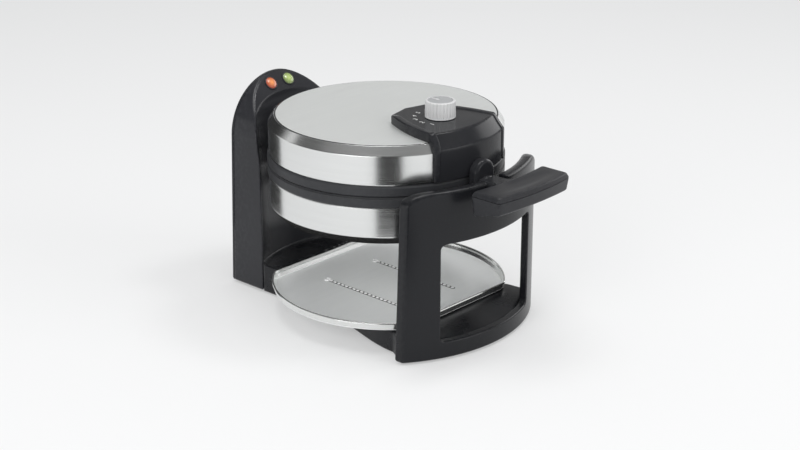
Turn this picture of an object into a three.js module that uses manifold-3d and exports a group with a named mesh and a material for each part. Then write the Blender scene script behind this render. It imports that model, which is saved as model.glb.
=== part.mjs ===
// Flip-type belgian waffle maker: a round two-part head that turns in a rear tower and a front stand.
// Millimetres, +Z up, +X to the user's right, the handle towards -Y and the tower towards +Y.
// While it is modelled, the head's centre line is the Z axis, and the floor is z = 0.
import * as THREE from "three";
import { mergeVertices } from "three/addons/utils/BufferGeometryUtils.js";
import Module from "manifold-3d";

const wasm = await Module();
wasm.setup();

// Clearances shared by the whole object
const seatGap = 0.3;
const runGap = 0.35;
const overrun = 6;

// Counts of facets
const discFacets = 48;
const tubeFacets = 16;
const screwFacets = 8;
const arcSteps = 12;
const smallArcSteps = 4;

// The head: two like halves that meet on the turning axis
const axisHeight = 152;
const headRadius = 112;
const bandTop = 38.5;
const shellTop = 46.8;
const topBevelWidth = 5.8;
const shellWall = 1.2;
const ringProud = 1.2;
const ringHeight = 10.3;
const seamHalfGap = 0.2;
const ringRadius = headRadius + ringProud;
const topDiscRadius = headRadius - topBevelWidth;

// Cast grid plates
const plateMargin = 12;
const plateFace = 0.8;
const plateFlange = 3.7;
const plateRimWidth = 11;
const waffleDraft = 3;
const waffleDepth = 12.7;
const plateFloor = 4;
const pegPitch = 22;
const pegBase = 15;
const pegTip = 12;
const pegHeight = 9.5;
const pegRoot = 0.5;
const pegMargin = 2;
const pegRings = 3;
const pegSides = 4;
const ribWidth = 3.4;
const plateBackInset = 9;
const plateRadius = headRadius - plateMargin;
const waffleRadius = plateRadius - plateRimWidth;

// Heating elements and the reflectors above them
const heaterInset = 38;
const heaterTube = 3.2;
const heaterTubeSides = 6;
const reflectorHeight = 26;
const reflectorWall = 0.8;
const heaterRadius = plateRadius - heaterInset;

// Control knob, its thermostat and the cover that they sit on
const knobX = 1.5;
const knobSetback = 45;
const knobRadius = 14.6;
const knobHeight = 16;
const knobRibs = 26;
const knobRibDepth = 0.7;
const knobRoof = 3.5;
const knobLift = 0.4;
const shaftRadius = 3;
const thermostatWidth = 32;
const thermostatLength = 26;
const thermostatHeight = 12.5;
const thermostatNeckRadius = 4.6;
const thermostatNeck = 4;
const shaftSocketDepth = 4;
const coverHeight = 7.7;
const coverWall = 2.5;
const coverBackReach = 43.5;
const coverCornerX = 25;
const coverCornerReach = 37.5;
const coverFrontX = 45.5;
const coverFrontSetback = 16;
const coverSideBulge = 4;
const coverTopSetback = 6.5;
const coverBevelDrop = 13;
const coverSkirtX = 48;
const knobY = knobSetback - headRadius;
const coverBackY = knobY + coverBackReach;
const coverCornerY = knobY + coverCornerReach;
const coverFrontY = coverFrontSetback - headRadius;
const coverTopRadius = headRadius - coverTopSetback;

// Arms that carry the head in the stand's notch
const neckRadius = 13.4;
const lugHalfWidth = 13;
const lugTop = 26.7;
const lugThickness = 9;
const lugStandOff = 0.3;
const armPadHalfWidth = 20;
const armPadTop = 34;
const armPadBase = 10.9;
const foldPinX = 26;
const foldPinRadius = 2;
const foldReach = 16;
const foldAxisRise = 4;
const knuckleRadius = 6.5;
const knuckleHalfWidth = 15;
const neckClear = 3.2;
const foldAxisHeight = axisHeight + foldAxisRise;

// Folding grip
const gripHalfWidth = 50;
const gripTopRise = 11.4;
const gripInnerDrop = 12;
const gripOuterDrop = 4.3;
const gripNoseRise = 5.5;
const gripInnerReach = 9.5;
const gripInnerBow = 4;
const gripOuterReach = 23;
const gripOuterBow = 4.5;
const gripNoseDepth = 1.8;
const gripScrewX = 35;
const gripScrewReach = 10;
const gripScrewHead = 3;
const gripScrewHeadHeight = 2.2;
const gripScrewShank = 1.3;
const gripScrewBite = 2.6;
const gripScrewCounterbore = 4;
const gripTop = foldAxisHeight + gripTopRise;
const gripInnerBottom = foldAxisHeight - gripInnerDrop;
const gripOuterBottom = foldAxisHeight - gripOuterDrop;
const gripOuterHeight = foldAxisHeight + gripNoseRise;

// Rear hinge between the two halves
const hingeStandOff = 5.5;
const hingeHeight = 31;
const knuckleOuter = 4.2;
const hingePinRadius = 2;
const lidKnuckleHalfWidth = 19.7;
const bracketKnuckleEnd = 33;
const bracketKnuckleGap = 0.8;
const bracketWall = 3;
const bracketBottom = -30;
const bracketMiddleTop = 16.5;
const lidPadBottom = 18;
const lidPadWall = 2.2;
const hingeWebHalf = 4;
const hingePinEnd = 1;
const hingeY = headRadius + hingeStandOff;

// Turning shaft, its bush and its stop
const turnShaftRadius = 8;
const turnShaftBore = 5;
const turnFlangeRadius = 16;
const turnFlangeThickness = 2.6;
const turnShaftSetback = 4.5;
const bushWall = 3.8;
const bushFlangeRadius = 15;
const bushFlangeThickness = 2.5;
const bushLength = 11;
const stopFingerReach = 20;
const stopFingerHalf = 3;
const stopRibInner = 13.5;
const stopLength = 4.6;
const clipThickness = 1.4;
const clipRadius = 11;

// Rear tower
const floorGap = 2;
const towerFootHalf = 62;
const towerShoulderHalf = 57;
const towerShoulderRise = 1;
const towerDepth = 26;
const towerWall = 3;
const towerCoverThickness = 3.5;
const towerOverlap = 12;
const towerClear = 15.5;
const towerMiddleSetback = 2;
const towerHighSetback = 7;
const towerTopSetback = 12.5;
const towerLowHeight = 60;
const towerMiddleDrop = 22;
const towerHighRise = 17;
const towerTopRise = 36;
const panelFootRise = 5;
const panelLength = 14;
const panelDrop = 17;
const towerShoulderHeight = axisHeight + towerShoulderRise;
const towerMiddleHeight = axisHeight - towerMiddleDrop;
const towerHighHeight = axisHeight + towerHighRise;
const towerTopHeight = axisHeight + towerTopRise;
const towerReachLow = headRadius + towerClear;
const towerReachMiddle = towerReachLow + towerMiddleSetback;
const towerReachHigh = towerReachLow + towerHighSetback;
const towerReachTop = towerReachLow + towerTopSetback;
const towerFrontY = headRadius - towerOverlap;
const towerBack = towerReachLow + towerDepth;
const turnShaftEnd = towerBack - turnShaftSetback;
const panelFootY = towerReachTop;
const panelFootHeight = towerTopHeight + panelFootRise;
const panelHeadY = panelFootY + panelLength;
const panelHeadHeight = panelFootHeight + panelDrop;

// Indicator lights and the parts behind them
const lightSpacing = 23.4;
const lightInset = 6;
const lensStem = 4.6;
const lensHead = 6.1;
const lensRise = 3.2;
const lensRim = 1;
const lensDepth = 4.6;
const lampRadius = 2;
const lampLength = 3;
const boardHalfWidth = 22;
const boardLength = 22;
const boardThickness = 1.6;
const boardInset = 7.6;
const boardPostRadius = 2.5;
const boardPostX = 16;
const terminalHalfWidth = 12;
const terminalBottom = 60;
const terminalTop = 74;
const terminalDepth = 8.5;
const terminalSetback = 4;
const glandX = 34;
const glandHeight = 24;
const glandRadius = 6;
const glandBore = 3.4;
const glandRim = 1.2;
const glandRimWidth = 1.8;
const lightY = panelFootY + lightInset;
const boardY = panelFootY + boardInset;
const terminalBack = towerBack - terminalSetback;
const terminalFront = terminalBack - terminalDepth;

// Drip tray
const trayProud = 2.2;
const trayCentreY = -3;
const trayFlatInset = 21.2;
const trayCorner = 14;
const trayRimHeight = 31;
const trayFloorHeight = 23.5;
const trayWall = 1.3;
const trayRadius = headRadius + trayProud;
const trayFlat = trayRadius - trayFlatInset;

// Base under the tray
const deckHeight = 22;
const baseWall = 3;
const rearStepHeight = 30;
const rearStepClear = 1.6;
const waistHalf = 60;
const baseFrontHalf = 80;
const waistY = 20;
const baseFrontSetback = 13;
const baseRearHalf = 61;
const baseCornerHalf = 89;
const slopeClear = 3.5;
const slopeDrop = 10;
const bottomCoverThickness = 2;
const baseBossRadius = 4;
const baseScrewShank = 1.3;
const baseScrewHead = 3.2;
const baseScrewHeadHeight = 1.4;
const baseScrewLength = 12;
const frontScrewX = 58;
const frontScrewSetback = 17;
const rearScrewX = 45;
const rearScrewSetback = 61.5;

// Front stand
const standClear = 6.9;
const standCentreY = 13;
const standWall = 7.8;
const standLip = 12;
const standLipHeight = 6.5;
const standFootHalf = 93.3;
const standShoulderHalf = 90;
const standShoulderDrop = 0.3;
const standTopRise = 11.4;
const standTopHalf = 67;
const windowHalf = 61.4;
const windowBottom = 18.6;
const windowTopDrop = 39;
const windowCorner = 5;
const standShoulderHeight = axisHeight - standShoulderDrop;
const standTop = axisHeight + standTopRise;
const windowTop = axisHeight - windowTopDrop;
const standTurnShare = 1.1;

// Feet and back-cover screws
const footRadius = 7;
const footStemRadius = 3;
const footFrontX = 52;
const footFrontSetback = 32.8;
const footRearX = 46;
const footRearSetback = 10.5;
const backScrewHead = 3;
const backScrewHeadDepth = 1.6;
const backScrewShank = 1.3;
const backScrewLength = 11;
const backBossRadius = 4;
const backBossLength = 12;
const backScrewLow = 44;
const backScrewDrop = 2;
const backScrewHigh = axisHeight - backScrewDrop;

// Sizes worked out from the ones above
const lidShellBottom = ringHeight + seatGap;
const plateBack = plateFace + waffleDepth + plateFloor;
const thermostatBottom = reflectorHeight + reflectorWall + seatGap;
const coverTop = axisHeight + shellTop + seatGap + coverHeight;
const coverSkirtRadius = headRadius + seatGap + coverWall;
const lugBackY = -(coverSkirtRadius + lugStandOff);
const lugFrontY = lugBackY - lugThickness;
const standFrontY = lugFrontY - standClear - standWall;
const standRadius = standCentreY - standFrontY;
const neckEndY = standFrontY - neckClear;
const foldAxisY = neckEndY - foldReach;
const gripInnerY = foldAxisY + gripInnerReach;
const gripOuterY = foldAxisY - gripOuterReach;
const gripScrewY = foldAxisY - gripScrewReach;
const lugCentre = lugTop - lugHalfWidth;
const gripSplit = foldAxisHeight + knuckleRadius;
const bushBore = turnShaftRadius + runGap;
const bushRadius = bushBore + bushWall;
const bracketInner = ringRadius + runGap;
const bracketOuter = bracketInner + bracketWall;
const flangeFrontY = bracketOuter + seatGap;
const trayUnderside = trayFloorHeight - trayWall;
const baseRearReach = towerReachLow - seatGap;
const baseFrontReach = standRadius - standWall - seatGap;
const trayFrontY = trayCentreY - trayFlat;
const baseFrontY = trayFrontY + baseFrontSetback;
const slopeStartY = trayFrontY - slopeClear;
const frontScrewY = baseFrontY + frontScrewSetback;
const rearScrewY = towerReachLow - rearScrewSetback;
const footFrontY = standFrontY + footFrontSetback;
const footRearY = towerBack - footRearSetback;
const coverPlateFront = towerBack + seatGap;
const backFace = coverPlateFront + towerCoverThickness;
const glandBack = backFace + seatGap + glandRim;
const panelTilt = Math.atan2(panelHeadHeight - panelFootHeight, panelHeadY - panelFootY);
const panelRise = Math.tan(panelTilt);
const lightHeight = panelFootHeight + (lightY - panelFootY) * panelRise;
const panelNormal = [0, -Math.sin(panelTilt), Math.cos(panelTilt)];
const gripFrontY = gripOuterY - gripOuterBow;
const lampFrontY = boardY + boardThickness / 2 - lampRadius;
const lensFootHeight = lightHeight + (lampFrontY - lightY) * panelRise - lensDepth / Math.cos(panelTilt);
const lampTop = lensFootHeight - seatGap;
const boardTop = lampTop - lampLength;
const boardBottom = boardTop - boardLength;

// Materials
function finish(color, roughness, metalness) {
  return new THREE.MeshStandardMaterial({ color, roughness, metalness });
}
const stainless = finish(0xc9cac8, 0.28, 1);
const blackGloss = finish(0x2b2d30, 0.3, 0);
const blackSatin = finish(0x35373a, 0.5, 0);
const phenolic = finish(0x303236, 0.45, 0);
const nonStick = finish(0x26272a, 0.42, 0.3);
const traySteel = finish(0xb9bbba, 0.38, 1);
const knobWhite = finish(0xe9e9e7, 0.4, 0);
const zincSteel = finish(0x9a9c9e, 0.35, 1);
const rubberBlack = finish(0x1c1d1e, 0.85, 0);
const lensRed = finish(0xe8643c, 0.2, 0);
const lensGreen = finish(0x9fc64a, 0.2, 0);
const lampGlass = finish(0xe7d9b8, 0.3, 0);
const boardGreen = finish(0x2f6a45, 0.5, 0);
const ceramic = finish(0xd9d5c9, 0.6, 0);
const elementSteel = finish(0x6f6d69, 0.5, 1);

// Turns a closed geometry into a solid with its faces pointing out
function solidOf(geometry) {
  const bare = geometry.clone();
  bare.deleteAttribute("normal");
  bare.deleteAttribute("uv");
  const merged = mergeVertices(bare);
  const place = merged.attributes.position;
  const corners = [];
  const found = merged.index.array;
  let volume = 0;
  const a = new THREE.Vector3();
  const b = new THREE.Vector3();
  const c = new THREE.Vector3();
  for (let i = 0; i < found.length; i += 3) {
    const [p, q, r] = [found[i], found[i + 1], found[i + 2]];
    if (p === q || q === r || r === p) continue;
    corners.push(p, q, r);
    a.fromBufferAttribute(place, p);
    b.fromBufferAttribute(place, q);
    c.fromBufferAttribute(place, r);
    volume += a.dot(b.cross(c));
  }
  if (volume < 0) corners.reverse();
  return new wasm.Manifold(new wasm.Mesh({
    numProp: 3,
    vertProperties: Float32Array.from(place.array),
    triVerts: Uint32Array.from(corners),
  }));
}

function meshOf(name, solid, material) {
  const shape = solid.getMesh();
  const geometry = new THREE.BufferGeometry();
  geometry.setAttribute("position", new THREE.BufferAttribute(Float32Array.from(shape.vertProperties), 3));
  geometry.setIndex(new THREE.BufferAttribute(Uint32Array.from(shape.triVerts), 1));
  geometry.computeVertexNormals();
  const mesh = new THREE.Mesh(geometry, material);
  mesh.name = name;
  return mesh;
}

function closedShape(points) {
  return new THREE.Shape(points.map(([x, y]) => new THREE.Vector2(x, y)));
}

// Outline points [x, y] carried along Z
function prismUp(points, low, high, holes = []) {
  const shape = closedShape(points);
  shape.holes = holes.map(closedShape);
  const geometry = new THREE.ExtrudeGeometry(shape, { depth: high - low, bevelEnabled: false });
  return solidOf(geometry.translate(0, 0, low));
}

// Outline points [x, z] carried along Y
function prismBack(points, front, back, holes = []) {
  const shape = closedShape(points);
  shape.holes = holes.map(closedShape);
  const geometry = new THREE.ExtrudeGeometry(shape, { depth: back - front, bevelEnabled: false });
  return solidOf(geometry.rotateX(Math.PI / 2).translate(0, back, 0));
}

// Outline points [y, z] carried along X
function prismAcross(points, left, right) {
  const depth = right - left;
  const geometry = new THREE.ExtrudeGeometry(closedShape(points), { depth, bevelEnabled: false });
  geometry.applyMatrix4(new THREE.Matrix4().makeBasis(
    new THREE.Vector3(0, 1, 0), new THREE.Vector3(0, 0, 1), new THREE.Vector3(1, 0, 0)));
  return solidOf(geometry.translate(left, 0, 0));
}

// Profile points [radius, height] turned about Z; a profile off the axis closes on itself
function turned(profile, facets = discFacets) {
  const first = profile[0];
  const last = profile[profile.length - 1];
  const onAxis = first[0] === 0 && last[0] === 0;
  const path = onAxis ? profile : [...profile, first];
  return solidOf(new THREE.LatheGeometry(path.map(([r, z]) => new THREE.Vector2(r, z)), facets)
    .rotateX(Math.PI / 2));
}

// The same, turned about the Y direction through a point on the XZ plane
function turnedBack(profile, x, z, facets = tubeFacets) {
  const first = profile[0];
  const last = profile[profile.length - 1];
  const onAxis = first[0] === 0 && last[0] === 0;
  const path = onAxis ? profile : [...profile, first];
  return solidOf(new THREE.LatheGeometry(path.map(([r, y]) => new THREE.Vector2(r, y)), facets)
    .translate(x, 0, z));
}

function block(x0, x1, y0, y1, z0, z1) {
  return solidOf(new THREE.BoxGeometry(x1 - x0, y1 - y0, z1 - z0)
    .translate((x0 + x1) / 2, (y0 + y1) / 2, (z0 + z1) / 2));
}

// A round bar between two points
function rod(radius, from, to, facets = tubeFacets) {
  const a = new THREE.Vector3(...from);
  const b = new THREE.Vector3(...to);
  const along = b.clone().sub(a);
  const up = new THREE.Vector3(0, 1, 0);
  const turn = new THREE.Quaternion().setFromUnitVectors(up, along.clone().normalize());
  const middle = a.add(b).multiplyScalar(1 / 2);
  return solidOf(new THREE.CylinderGeometry(radius, radius, along.length(), facets)
    .applyQuaternion(turn).translate(middle.x, middle.y, middle.z));
}

// Points on an arc from one angle to another, both ends included
function arc(x, y, radius, from, to, steps = arcSteps) {
  const points = [];
  for (let i = 0; i <= steps; i += 1) {
    const angle = from + (to - from) * i / steps;
    points.push([x + radius * Math.cos(angle), y + radius * Math.sin(angle)]);
  }
  return points;
}

function mirrored(points) {
  return points.map(([x, y]) => [-x, y]).reverse();
}

// Carries a solid to the lower half: it is turned half round about the head's turning axis
function lowerHalf(solid) {
  return solid.rotate([0, 180, 0]).translate([0, 0, axisHeight]);
}

function upperHalf(solid) {
  return solid.translate([0, 0, axisHeight]);
}

// Head shells, rings, grid plates, elements and reflectors, with heights counted from the seam

function shellHalf() {
  const slopeX = headRadius - topDiscRadius;
  const slopeZ = shellTop - bandTop;
  const inset = shellWall * (Math.hypot(slopeX, slopeZ) - slopeX) / slopeZ;
  return turned([
    [headRadius, lidShellBottom],
    [headRadius, bandTop],
    [topDiscRadius, shellTop],
    [0, shellTop],
    [0, shellTop - shellWall],
    [topDiscRadius - inset, shellTop - shellWall],
    [headRadius - shellWall, bandTop - shellWall * slopeX / slopeZ],
    [headRadius - shellWall, lidShellBottom],
  ]);
}

function ringHalf() {
  const step = shellWall;
  return turned([
    [plateRadius + seatGap, seamHalfGap],
    [ringRadius - step, seamHalfGap],
    [ringRadius, seamHalfGap + step],
    [ringRadius, ringHeight],
    [plateRadius + seatGap, ringHeight],
  ]);
}

function gridPlate() {
  const floor = plateFace + waffleDepth;
  let plate = turned([
    [0, floor],
    [waffleRadius - waffleDraft, floor],
    [waffleRadius, plateFace],
    [plateRadius, plateFace],
    [plateRadius, plateFace + plateFlange],
    [plateRadius - plateBackInset / 2, plateFace + plateFlange],
    [plateRadius - plateBackInset, plateBack],
    [0, plateBack],
  ]);
  const reach = waffleRadius - waffleDraft - pegMargin;
  const tip = floor - pegHeight;
  const length = pegHeight + pegRoot;
  const corner = Math.SQRT1_2;
  const peg = solidOf(new THREE.CylinderGeometry(pegBase * corner, pegTip * corner, length, pegSides)
    .rotateY(Math.PI / 4).rotateX(Math.PI / 2));
  for (let i = -pegRings; i < pegRings; i += 1) {
    for (let j = -pegRings; j < pegRings; j += 1) {
      const x = (i + 1 / 2) * pegPitch;
      const y = (j + 1 / 2) * pegPitch;
      if (Math.hypot(x, y) + pegBase * corner > reach) continue;
      plate = plate.add(peg.translate([x, y, tip + length / 2]));
    }
  }
  const ribEnd = waffleRadius - waffleDraft + pegRoot;
  const ribTip = plateFace + pegRoot;
  plate = plate.add(block(-ribEnd, ribEnd, -ribWidth / 2, ribWidth / 2, ribTip, floor + pegRoot));
  return plate.add(block(-ribWidth / 2, ribWidth / 2, -ribEnd, ribEnd, ribTip, floor + pegRoot));
}

function heaterRing() {
  const middle = plateBack + seatGap + heaterTube;
  const start = Math.PI / heaterTubeSides - Math.PI / 2;
  const end = start + 2 * Math.PI;
  const section = arc(heaterRadius, middle, heaterTube, start, end, heaterTubeSides).slice(1);
  const flatHalf = heaterTube * Math.cos(Math.PI / heaterTubeSides);
  return turned(section, arcSteps * 2).translate([0, 0, flatHalf - heaterTube]);
}

function reflectorDisc() {
  const inner = headRadius - shellWall - seatGap;
  return turned([
    [0, reflectorHeight],
    [inner, reflectorHeight],
    [inner, reflectorHeight + reflectorWall],
    [0, reflectorHeight + reflectorWall],
  ]);
}

// Lid pieces

function lidShell() {
  const hole = rod(shaftRadius + runGap, [knobX, knobY, shellTop - overrun],
    [knobX, knobY, shellTop + overrun]);
  return upperHalf(shellHalf().subtract(hole));
}

// Outline of the control cover seen from above, drawn in by an inset
function coverOutline(inset) {
  const side = [];
  for (let i = 0; i <= smallArcSteps; i += 1) {
    const t = i / smallArcSteps;
    const x = coverFrontX + (coverCornerX - coverFrontX) * t + coverSideBulge * Math.sin(Math.PI * t);
    side.push([x - inset, coverFrontY + (coverCornerY - inset - coverFrontY) * t]);
  }
  const front = -(coverSkirtRadius + overrun);
  const skirt = coverSkirtX - inset;
  const right = [[skirt, front], [skirt, coverFrontY - coverSideBulge], ...side];
  return [...right, [0, coverBackY - inset], ...mirrored(right)];
}

function controlCover() {
  const underside = shellTop + seatGap;
  const top = underside + coverHeight;
  const bottom = lidShellBottom + seatGap;
  const outer = turned([
    [0, bottom],
    [coverSkirtRadius, bottom],
    [coverSkirtRadius, top - coverBevelDrop],
    [coverTopRadius, top],
    [0, top],
  ]);
  const slope = headRadius - topDiscRadius;
  const head = turned([
    [0, bottom - overrun],
    [headRadius + seatGap, bottom - overrun],
    [headRadius + seatGap, bandTop + seatGap / 2],
    [headRadius + seatGap - slope, underside],
    [0, underside],
  ]);
  const hollow = turned([
    [0, underside - seatGap],
    [topDiscRadius - slope - coverWall, underside - seatGap],
    [topDiscRadius - slope - coverWall, top - coverWall],
    [0, top - coverWall],
  ]).intersect(prismUp(coverOutline(coverWall), underside - overrun, top));
  const hole = rod(shaftRadius + runGap, [knobX, knobY, underside - overrun],
    [knobX, knobY, top + overrun]);
  const body = outer.intersect(prismUp(coverOutline(0), bottom - overrun, top + overrun));
  return upperHalf(body.subtract(head).subtract(hollow).subtract(hole));
}

function thermostat() {
  const top = thermostatBottom + thermostatHeight;
  const body = block(knobX - thermostatWidth / 2, knobX + thermostatWidth / 2,
    knobY - thermostatLength / 2, knobY + thermostatLength / 2, thermostatBottom, top);
  const neck = rod(thermostatNeckRadius, [knobX, knobY, top - seatGap],
    [knobX, knobY, top + thermostatNeck]);
  const bore = rod(shaftRadius + runGap, [knobX, knobY, top - shaftSocketDepth],
    [knobX, knobY, top + overrun]);
  return upperHalf(body.add(neck).subtract(bore));
}

function thermostatShaft() {
  const bottom = axisHeight + thermostatBottom + thermostatHeight - shaftSocketDepth + seatGap;
  const top = coverTop + knobLift + knobHeight - knobRoof - seatGap;
  return rod(shaftRadius, [knobX, knobY, bottom], [knobX, knobY, top]);
}

function controlKnob() {
  const points = [];
  for (let i = 0; i < knobRibs; i += 1) {
    for (const [share, radius] of [
      [0, knobRadius],
      [1 / 2, knobRadius],
      [2 / 3, knobRadius - knobRibDepth],
      [5 / 6, knobRadius - knobRibDepth],
    ]) {
      const angle = 2 * Math.PI * (i + share) / knobRibs;
      points.push([radius * Math.cos(angle), radius * Math.sin(angle)]);
    }
  }
  const bottom = coverTop + knobLift;
  const body = prismUp(points, bottom, bottom + knobHeight).translate([knobX, knobY, 0]);
  return body.subtract(rod(shaftRadius + runGap, [knobX, knobY, bottom - overrun],
    [knobX, knobY, bottom + knobHeight - knobRoof]));
}

// The lug behind the stand and the half-round neck that lies in its notch, shared by both halves
function neckHalf(backY) {
  const outline = [[lugHalfWidth, seamHalfGap], ...arc(0, lugCentre, lugHalfWidth, 0, Math.PI),
    [-lugHalfWidth, seamHalfGap]];
  const lug = prismBack(outline, lugFrontY, backY);
  const round = rod(neckRadius, [0, lugFrontY + lugThickness / 2, 0], [0, neckEndY, 0]);
  const upper = block(-headRadius, headRadius, neckEndY - overrun, backY + overrun,
    seamHalfGap, lugTop + overrun);
  return lug.add(round.intersect(upper));
}

function lidArm() {
  const front = neckEndY;
  const tail = [
    [-neckRadius, front + seatGap],
    [-neckRadius, front],
    [-knuckleHalfWidth, front - knuckleRadius],
    [-knuckleHalfWidth, foldAxisY],
    [knuckleHalfWidth, foldAxisY],
    [knuckleHalfWidth, front - knuckleRadius],
    [neckRadius, front],
    [neckRadius, front + seatGap],
  ];
  const low = foldAxisHeight - knuckleRadius;
  const flat = prismUp(tail, low, foldAxisHeight + knuckleRadius)
    .subtract(block(-headRadius, headRadius, front, front + overrun,
      low - overrun, axisHeight + seamHalfGap));
  const knuckle = rod(knuckleRadius, [-knuckleHalfWidth, foldAxisY, foldAxisHeight],
    [knuckleHalfWidth, foldAxisY, foldAxisHeight]);
  const bore = rod(foldPinRadius + runGap, [-knuckleHalfWidth - overrun, foldAxisY, foldAxisHeight],
    [knuckleHalfWidth + overrun, foldAxisY, foldAxisHeight]);
  return upperHalf(neckHalf(lugBackY)).add(flat).add(knuckle).subtract(bore);
}

function lowerArm() {
  const inner = headRadius + seatGap;
  const pad = turned([
    [inner, armPadBase],
    [coverSkirtRadius, armPadBase],
    [coverSkirtRadius, armPadTop],
    [inner, armPadTop],
  ]).intersect(block(-armPadHalfWidth, armPadHalfWidth, -standRadius, 0, 0, shellTop));
  const foot = prismBack([[lugHalfWidth, armPadBase], [lugHalfWidth, lugCentre], [-lugHalfWidth, lugCentre],
    [-lugHalfWidth, armPadBase]], lugFrontY, -inner - seatGap);
  return lowerHalf(pad.add(neckHalf(lugBackY)).add(foot));
}

// Rear hinge

function hingeBracket() {
  const plateSolid = turned([
    [bracketInner, bracketBottom],
    [bracketOuter, bracketBottom],
    [bracketOuter, hingeHeight],
    [bracketInner, hingeHeight],
  ]);
  const start = lidKnuckleHalfWidth + bracketKnuckleGap;
  const end = bracketKnuckleEnd;
  const top = hingeHeight - hingeWebHalf / 2;
  const outline = [[-end, bracketBottom], [end, bracketBottom], [end, top], [start, top],
    [start, bracketMiddleTop], [-start, bracketMiddleTop], [-start, top], [-end, top]];
  let bracket = plateSolid.intersect(prismBack(outline, 0, hingeY + overrun));
  for (const side of [-1, 1]) {
    const [x0, x1] = side > 0 ? [start, end] : [-end, -start];
    const web = block(x0, x1, bracketInner, hingeY, hingeHeight - 2 * hingeWebHalf, hingeHeight);
    bracket = bracket.add(web).add(rod(knuckleOuter, [x0, hingeY, hingeHeight], [x1, hingeY, hingeHeight]));
  }
  const bore = rod(hingePinRadius + runGap, [-end - overrun, hingeY, hingeHeight],
    [end + overrun, hingeY, hingeHeight]);
  return upperHalf(bracket.subtract(bore));
}

function lidHingeLug() {
  const inner = headRadius + seatGap;
  const half = lidKnuckleHalfWidth;
  const top = bandTop - shellWall;
  const pad = turned([
    [inner, lidPadBottom],
    [inner + lidPadWall, lidPadBottom],
    [inner + lidPadWall, top],
    [inner, top],
  ]).intersect(block(-half, half, 0, hingeY, 0, shellTop));
  const web = block(-half, half, inner + seatGap, hingeY,
    hingeHeight - hingeWebHalf, hingeHeight + hingeWebHalf);
  const bore = rod(hingePinRadius + runGap, [-half - overrun, hingeY, hingeHeight],
    [half + overrun, hingeY, hingeHeight]);
  const barrel = rod(knuckleOuter, [-half, hingeY, hingeHeight], [half, hingeY, hingeHeight]);
  return upperHalf(pad.add(web).add(barrel).subtract(bore));
}

function hingePin() {
  const end = bracketKnuckleEnd + hingePinEnd;
  return upperHalf(rod(hingePinRadius, [-end, hingeY, hingeHeight], [end, hingeY, hingeHeight]));
}

// Turning shaft with its stop collar and clip

function turnShaft() {
  return turnedBack([
    [turnShaftBore, flangeFrontY],
    [turnFlangeRadius, flangeFrontY],
    [turnFlangeRadius, flangeFrontY + turnFlangeThickness],
    [turnShaftRadius, flangeFrontY + turnFlangeThickness],
    [turnShaftRadius, turnShaftEnd],
    [turnShaftBore, turnShaftEnd],
  ], 0, axisHeight);
}

// How far the tower's front face lies behind the head's centre line between its two middle heights
function towerReachAt(height) {
  const share = (height - towerMiddleHeight) / (towerHighHeight - towerMiddleHeight);
  return towerReachMiddle + (towerReachHigh - towerReachMiddle) * share;
}
const flatShare = Math.cos(Math.PI / discFacets);
const bushFlangeBack = towerReachAt(axisHeight - bushFlangeRadius) * flatShare - seatGap;
const bushEnd = bushFlangeBack + bushLength - bushFlangeThickness;
const stopStart = bushEnd + seatGap;
const clipStart = stopStart + stopLength + seatGap;

function stopCollar() {
  const outer = bushRadius - seatGap;
  const collar = rod(outer, [0, stopStart, 0], [0, stopStart + stopLength, 0]);
  const finger = block(0, stopFingerReach, stopStart, stopStart + stopLength,
    -stopFingerHalf, stopFingerHalf);
  const bore = rod(turnShaftRadius + seatGap, [0, stopStart - overrun, 0], [0, clipStart + overrun, 0]);
  return upperHalf(collar.add(finger).subtract(bore));
}

function shaftClip() {
  return turnedBack([
    [turnShaftRadius + seatGap, clipStart],
    [clipRadius, clipStart],
    [clipRadius, clipStart + clipThickness],
    [turnShaftRadius + seatGap, clipStart + clipThickness],
  ], 0, axisHeight);
}

function towerBush() {
  const front = bushFlangeBack - bushFlangeThickness;
  return turnedBack([
    [bushBore, front],
    [bushFlangeRadius, front],
    [bushFlangeRadius, bushFlangeBack],
    [bushRadius, bushFlangeBack],
    [bushRadius, bushEnd],
    [bushBore, bushEnd],
  ], 0, axisHeight);
}

// Rear tower

// Tower seen from the front: sides that lean in, and a half-round top
function towerOutline(inset) {
  const foot = towerFootHalf - inset;
  const shoulder = towerShoulderHalf - inset;
  return [[-foot, floorGap + inset], [foot, floorGap + inset],
    ...arc(0, towerShoulderHeight, shoulder, 0, Math.PI, arcSteps + smallArcSteps)];
}

// The room that the head turns in, grown by a wall
function headRoom(wall) {
  const sky = panelHeadHeight + overrun;
  return turned([
    [0, -overrun],
    [towerReachLow + wall, -overrun],
    [towerReachLow + wall, towerLowHeight],
    [towerReachMiddle + wall, towerMiddleHeight],
    [towerReachHigh + wall, towerHighHeight],
    [towerReachTop + wall, towerTopHeight],
    [towerReachTop + wall, sky],
    [0, sky],
  ]);
}

// Everything above the sloped light panel, moved in by a wall
function panelCut(wall) {
  const drop = wall / Math.cos(panelTilt);
  const ahead = towerBack - towerFrontY;
  const foot = [panelFootY - ahead, panelFootHeight - ahead * panelRise - drop];
  const head = [panelHeadY + ahead, panelHeadHeight + ahead * panelRise - drop];
  return prismAcross([foot, head, [foot[0], head[1]]], -headRadius, headRadius);
}

function alongPanel(x, distance) {
  return [x, lightY + panelNormal[1] * distance, lightHeight + panelNormal[2] * distance];
}

function bossPlaces() {
  const half = (height) => towerFootHalf + (towerShoulderHalf - towerFootHalf)
    * (height - floorGap) / (towerShoulderHeight - floorGap) - towerWall - backBossRadius / 2;
  const places = [];
  for (const height of [backScrewLow, backScrewHigh]) {
    for (const side of [-1, 1]) places.push([side * half(height), height]);
  }
  return places;
}

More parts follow.
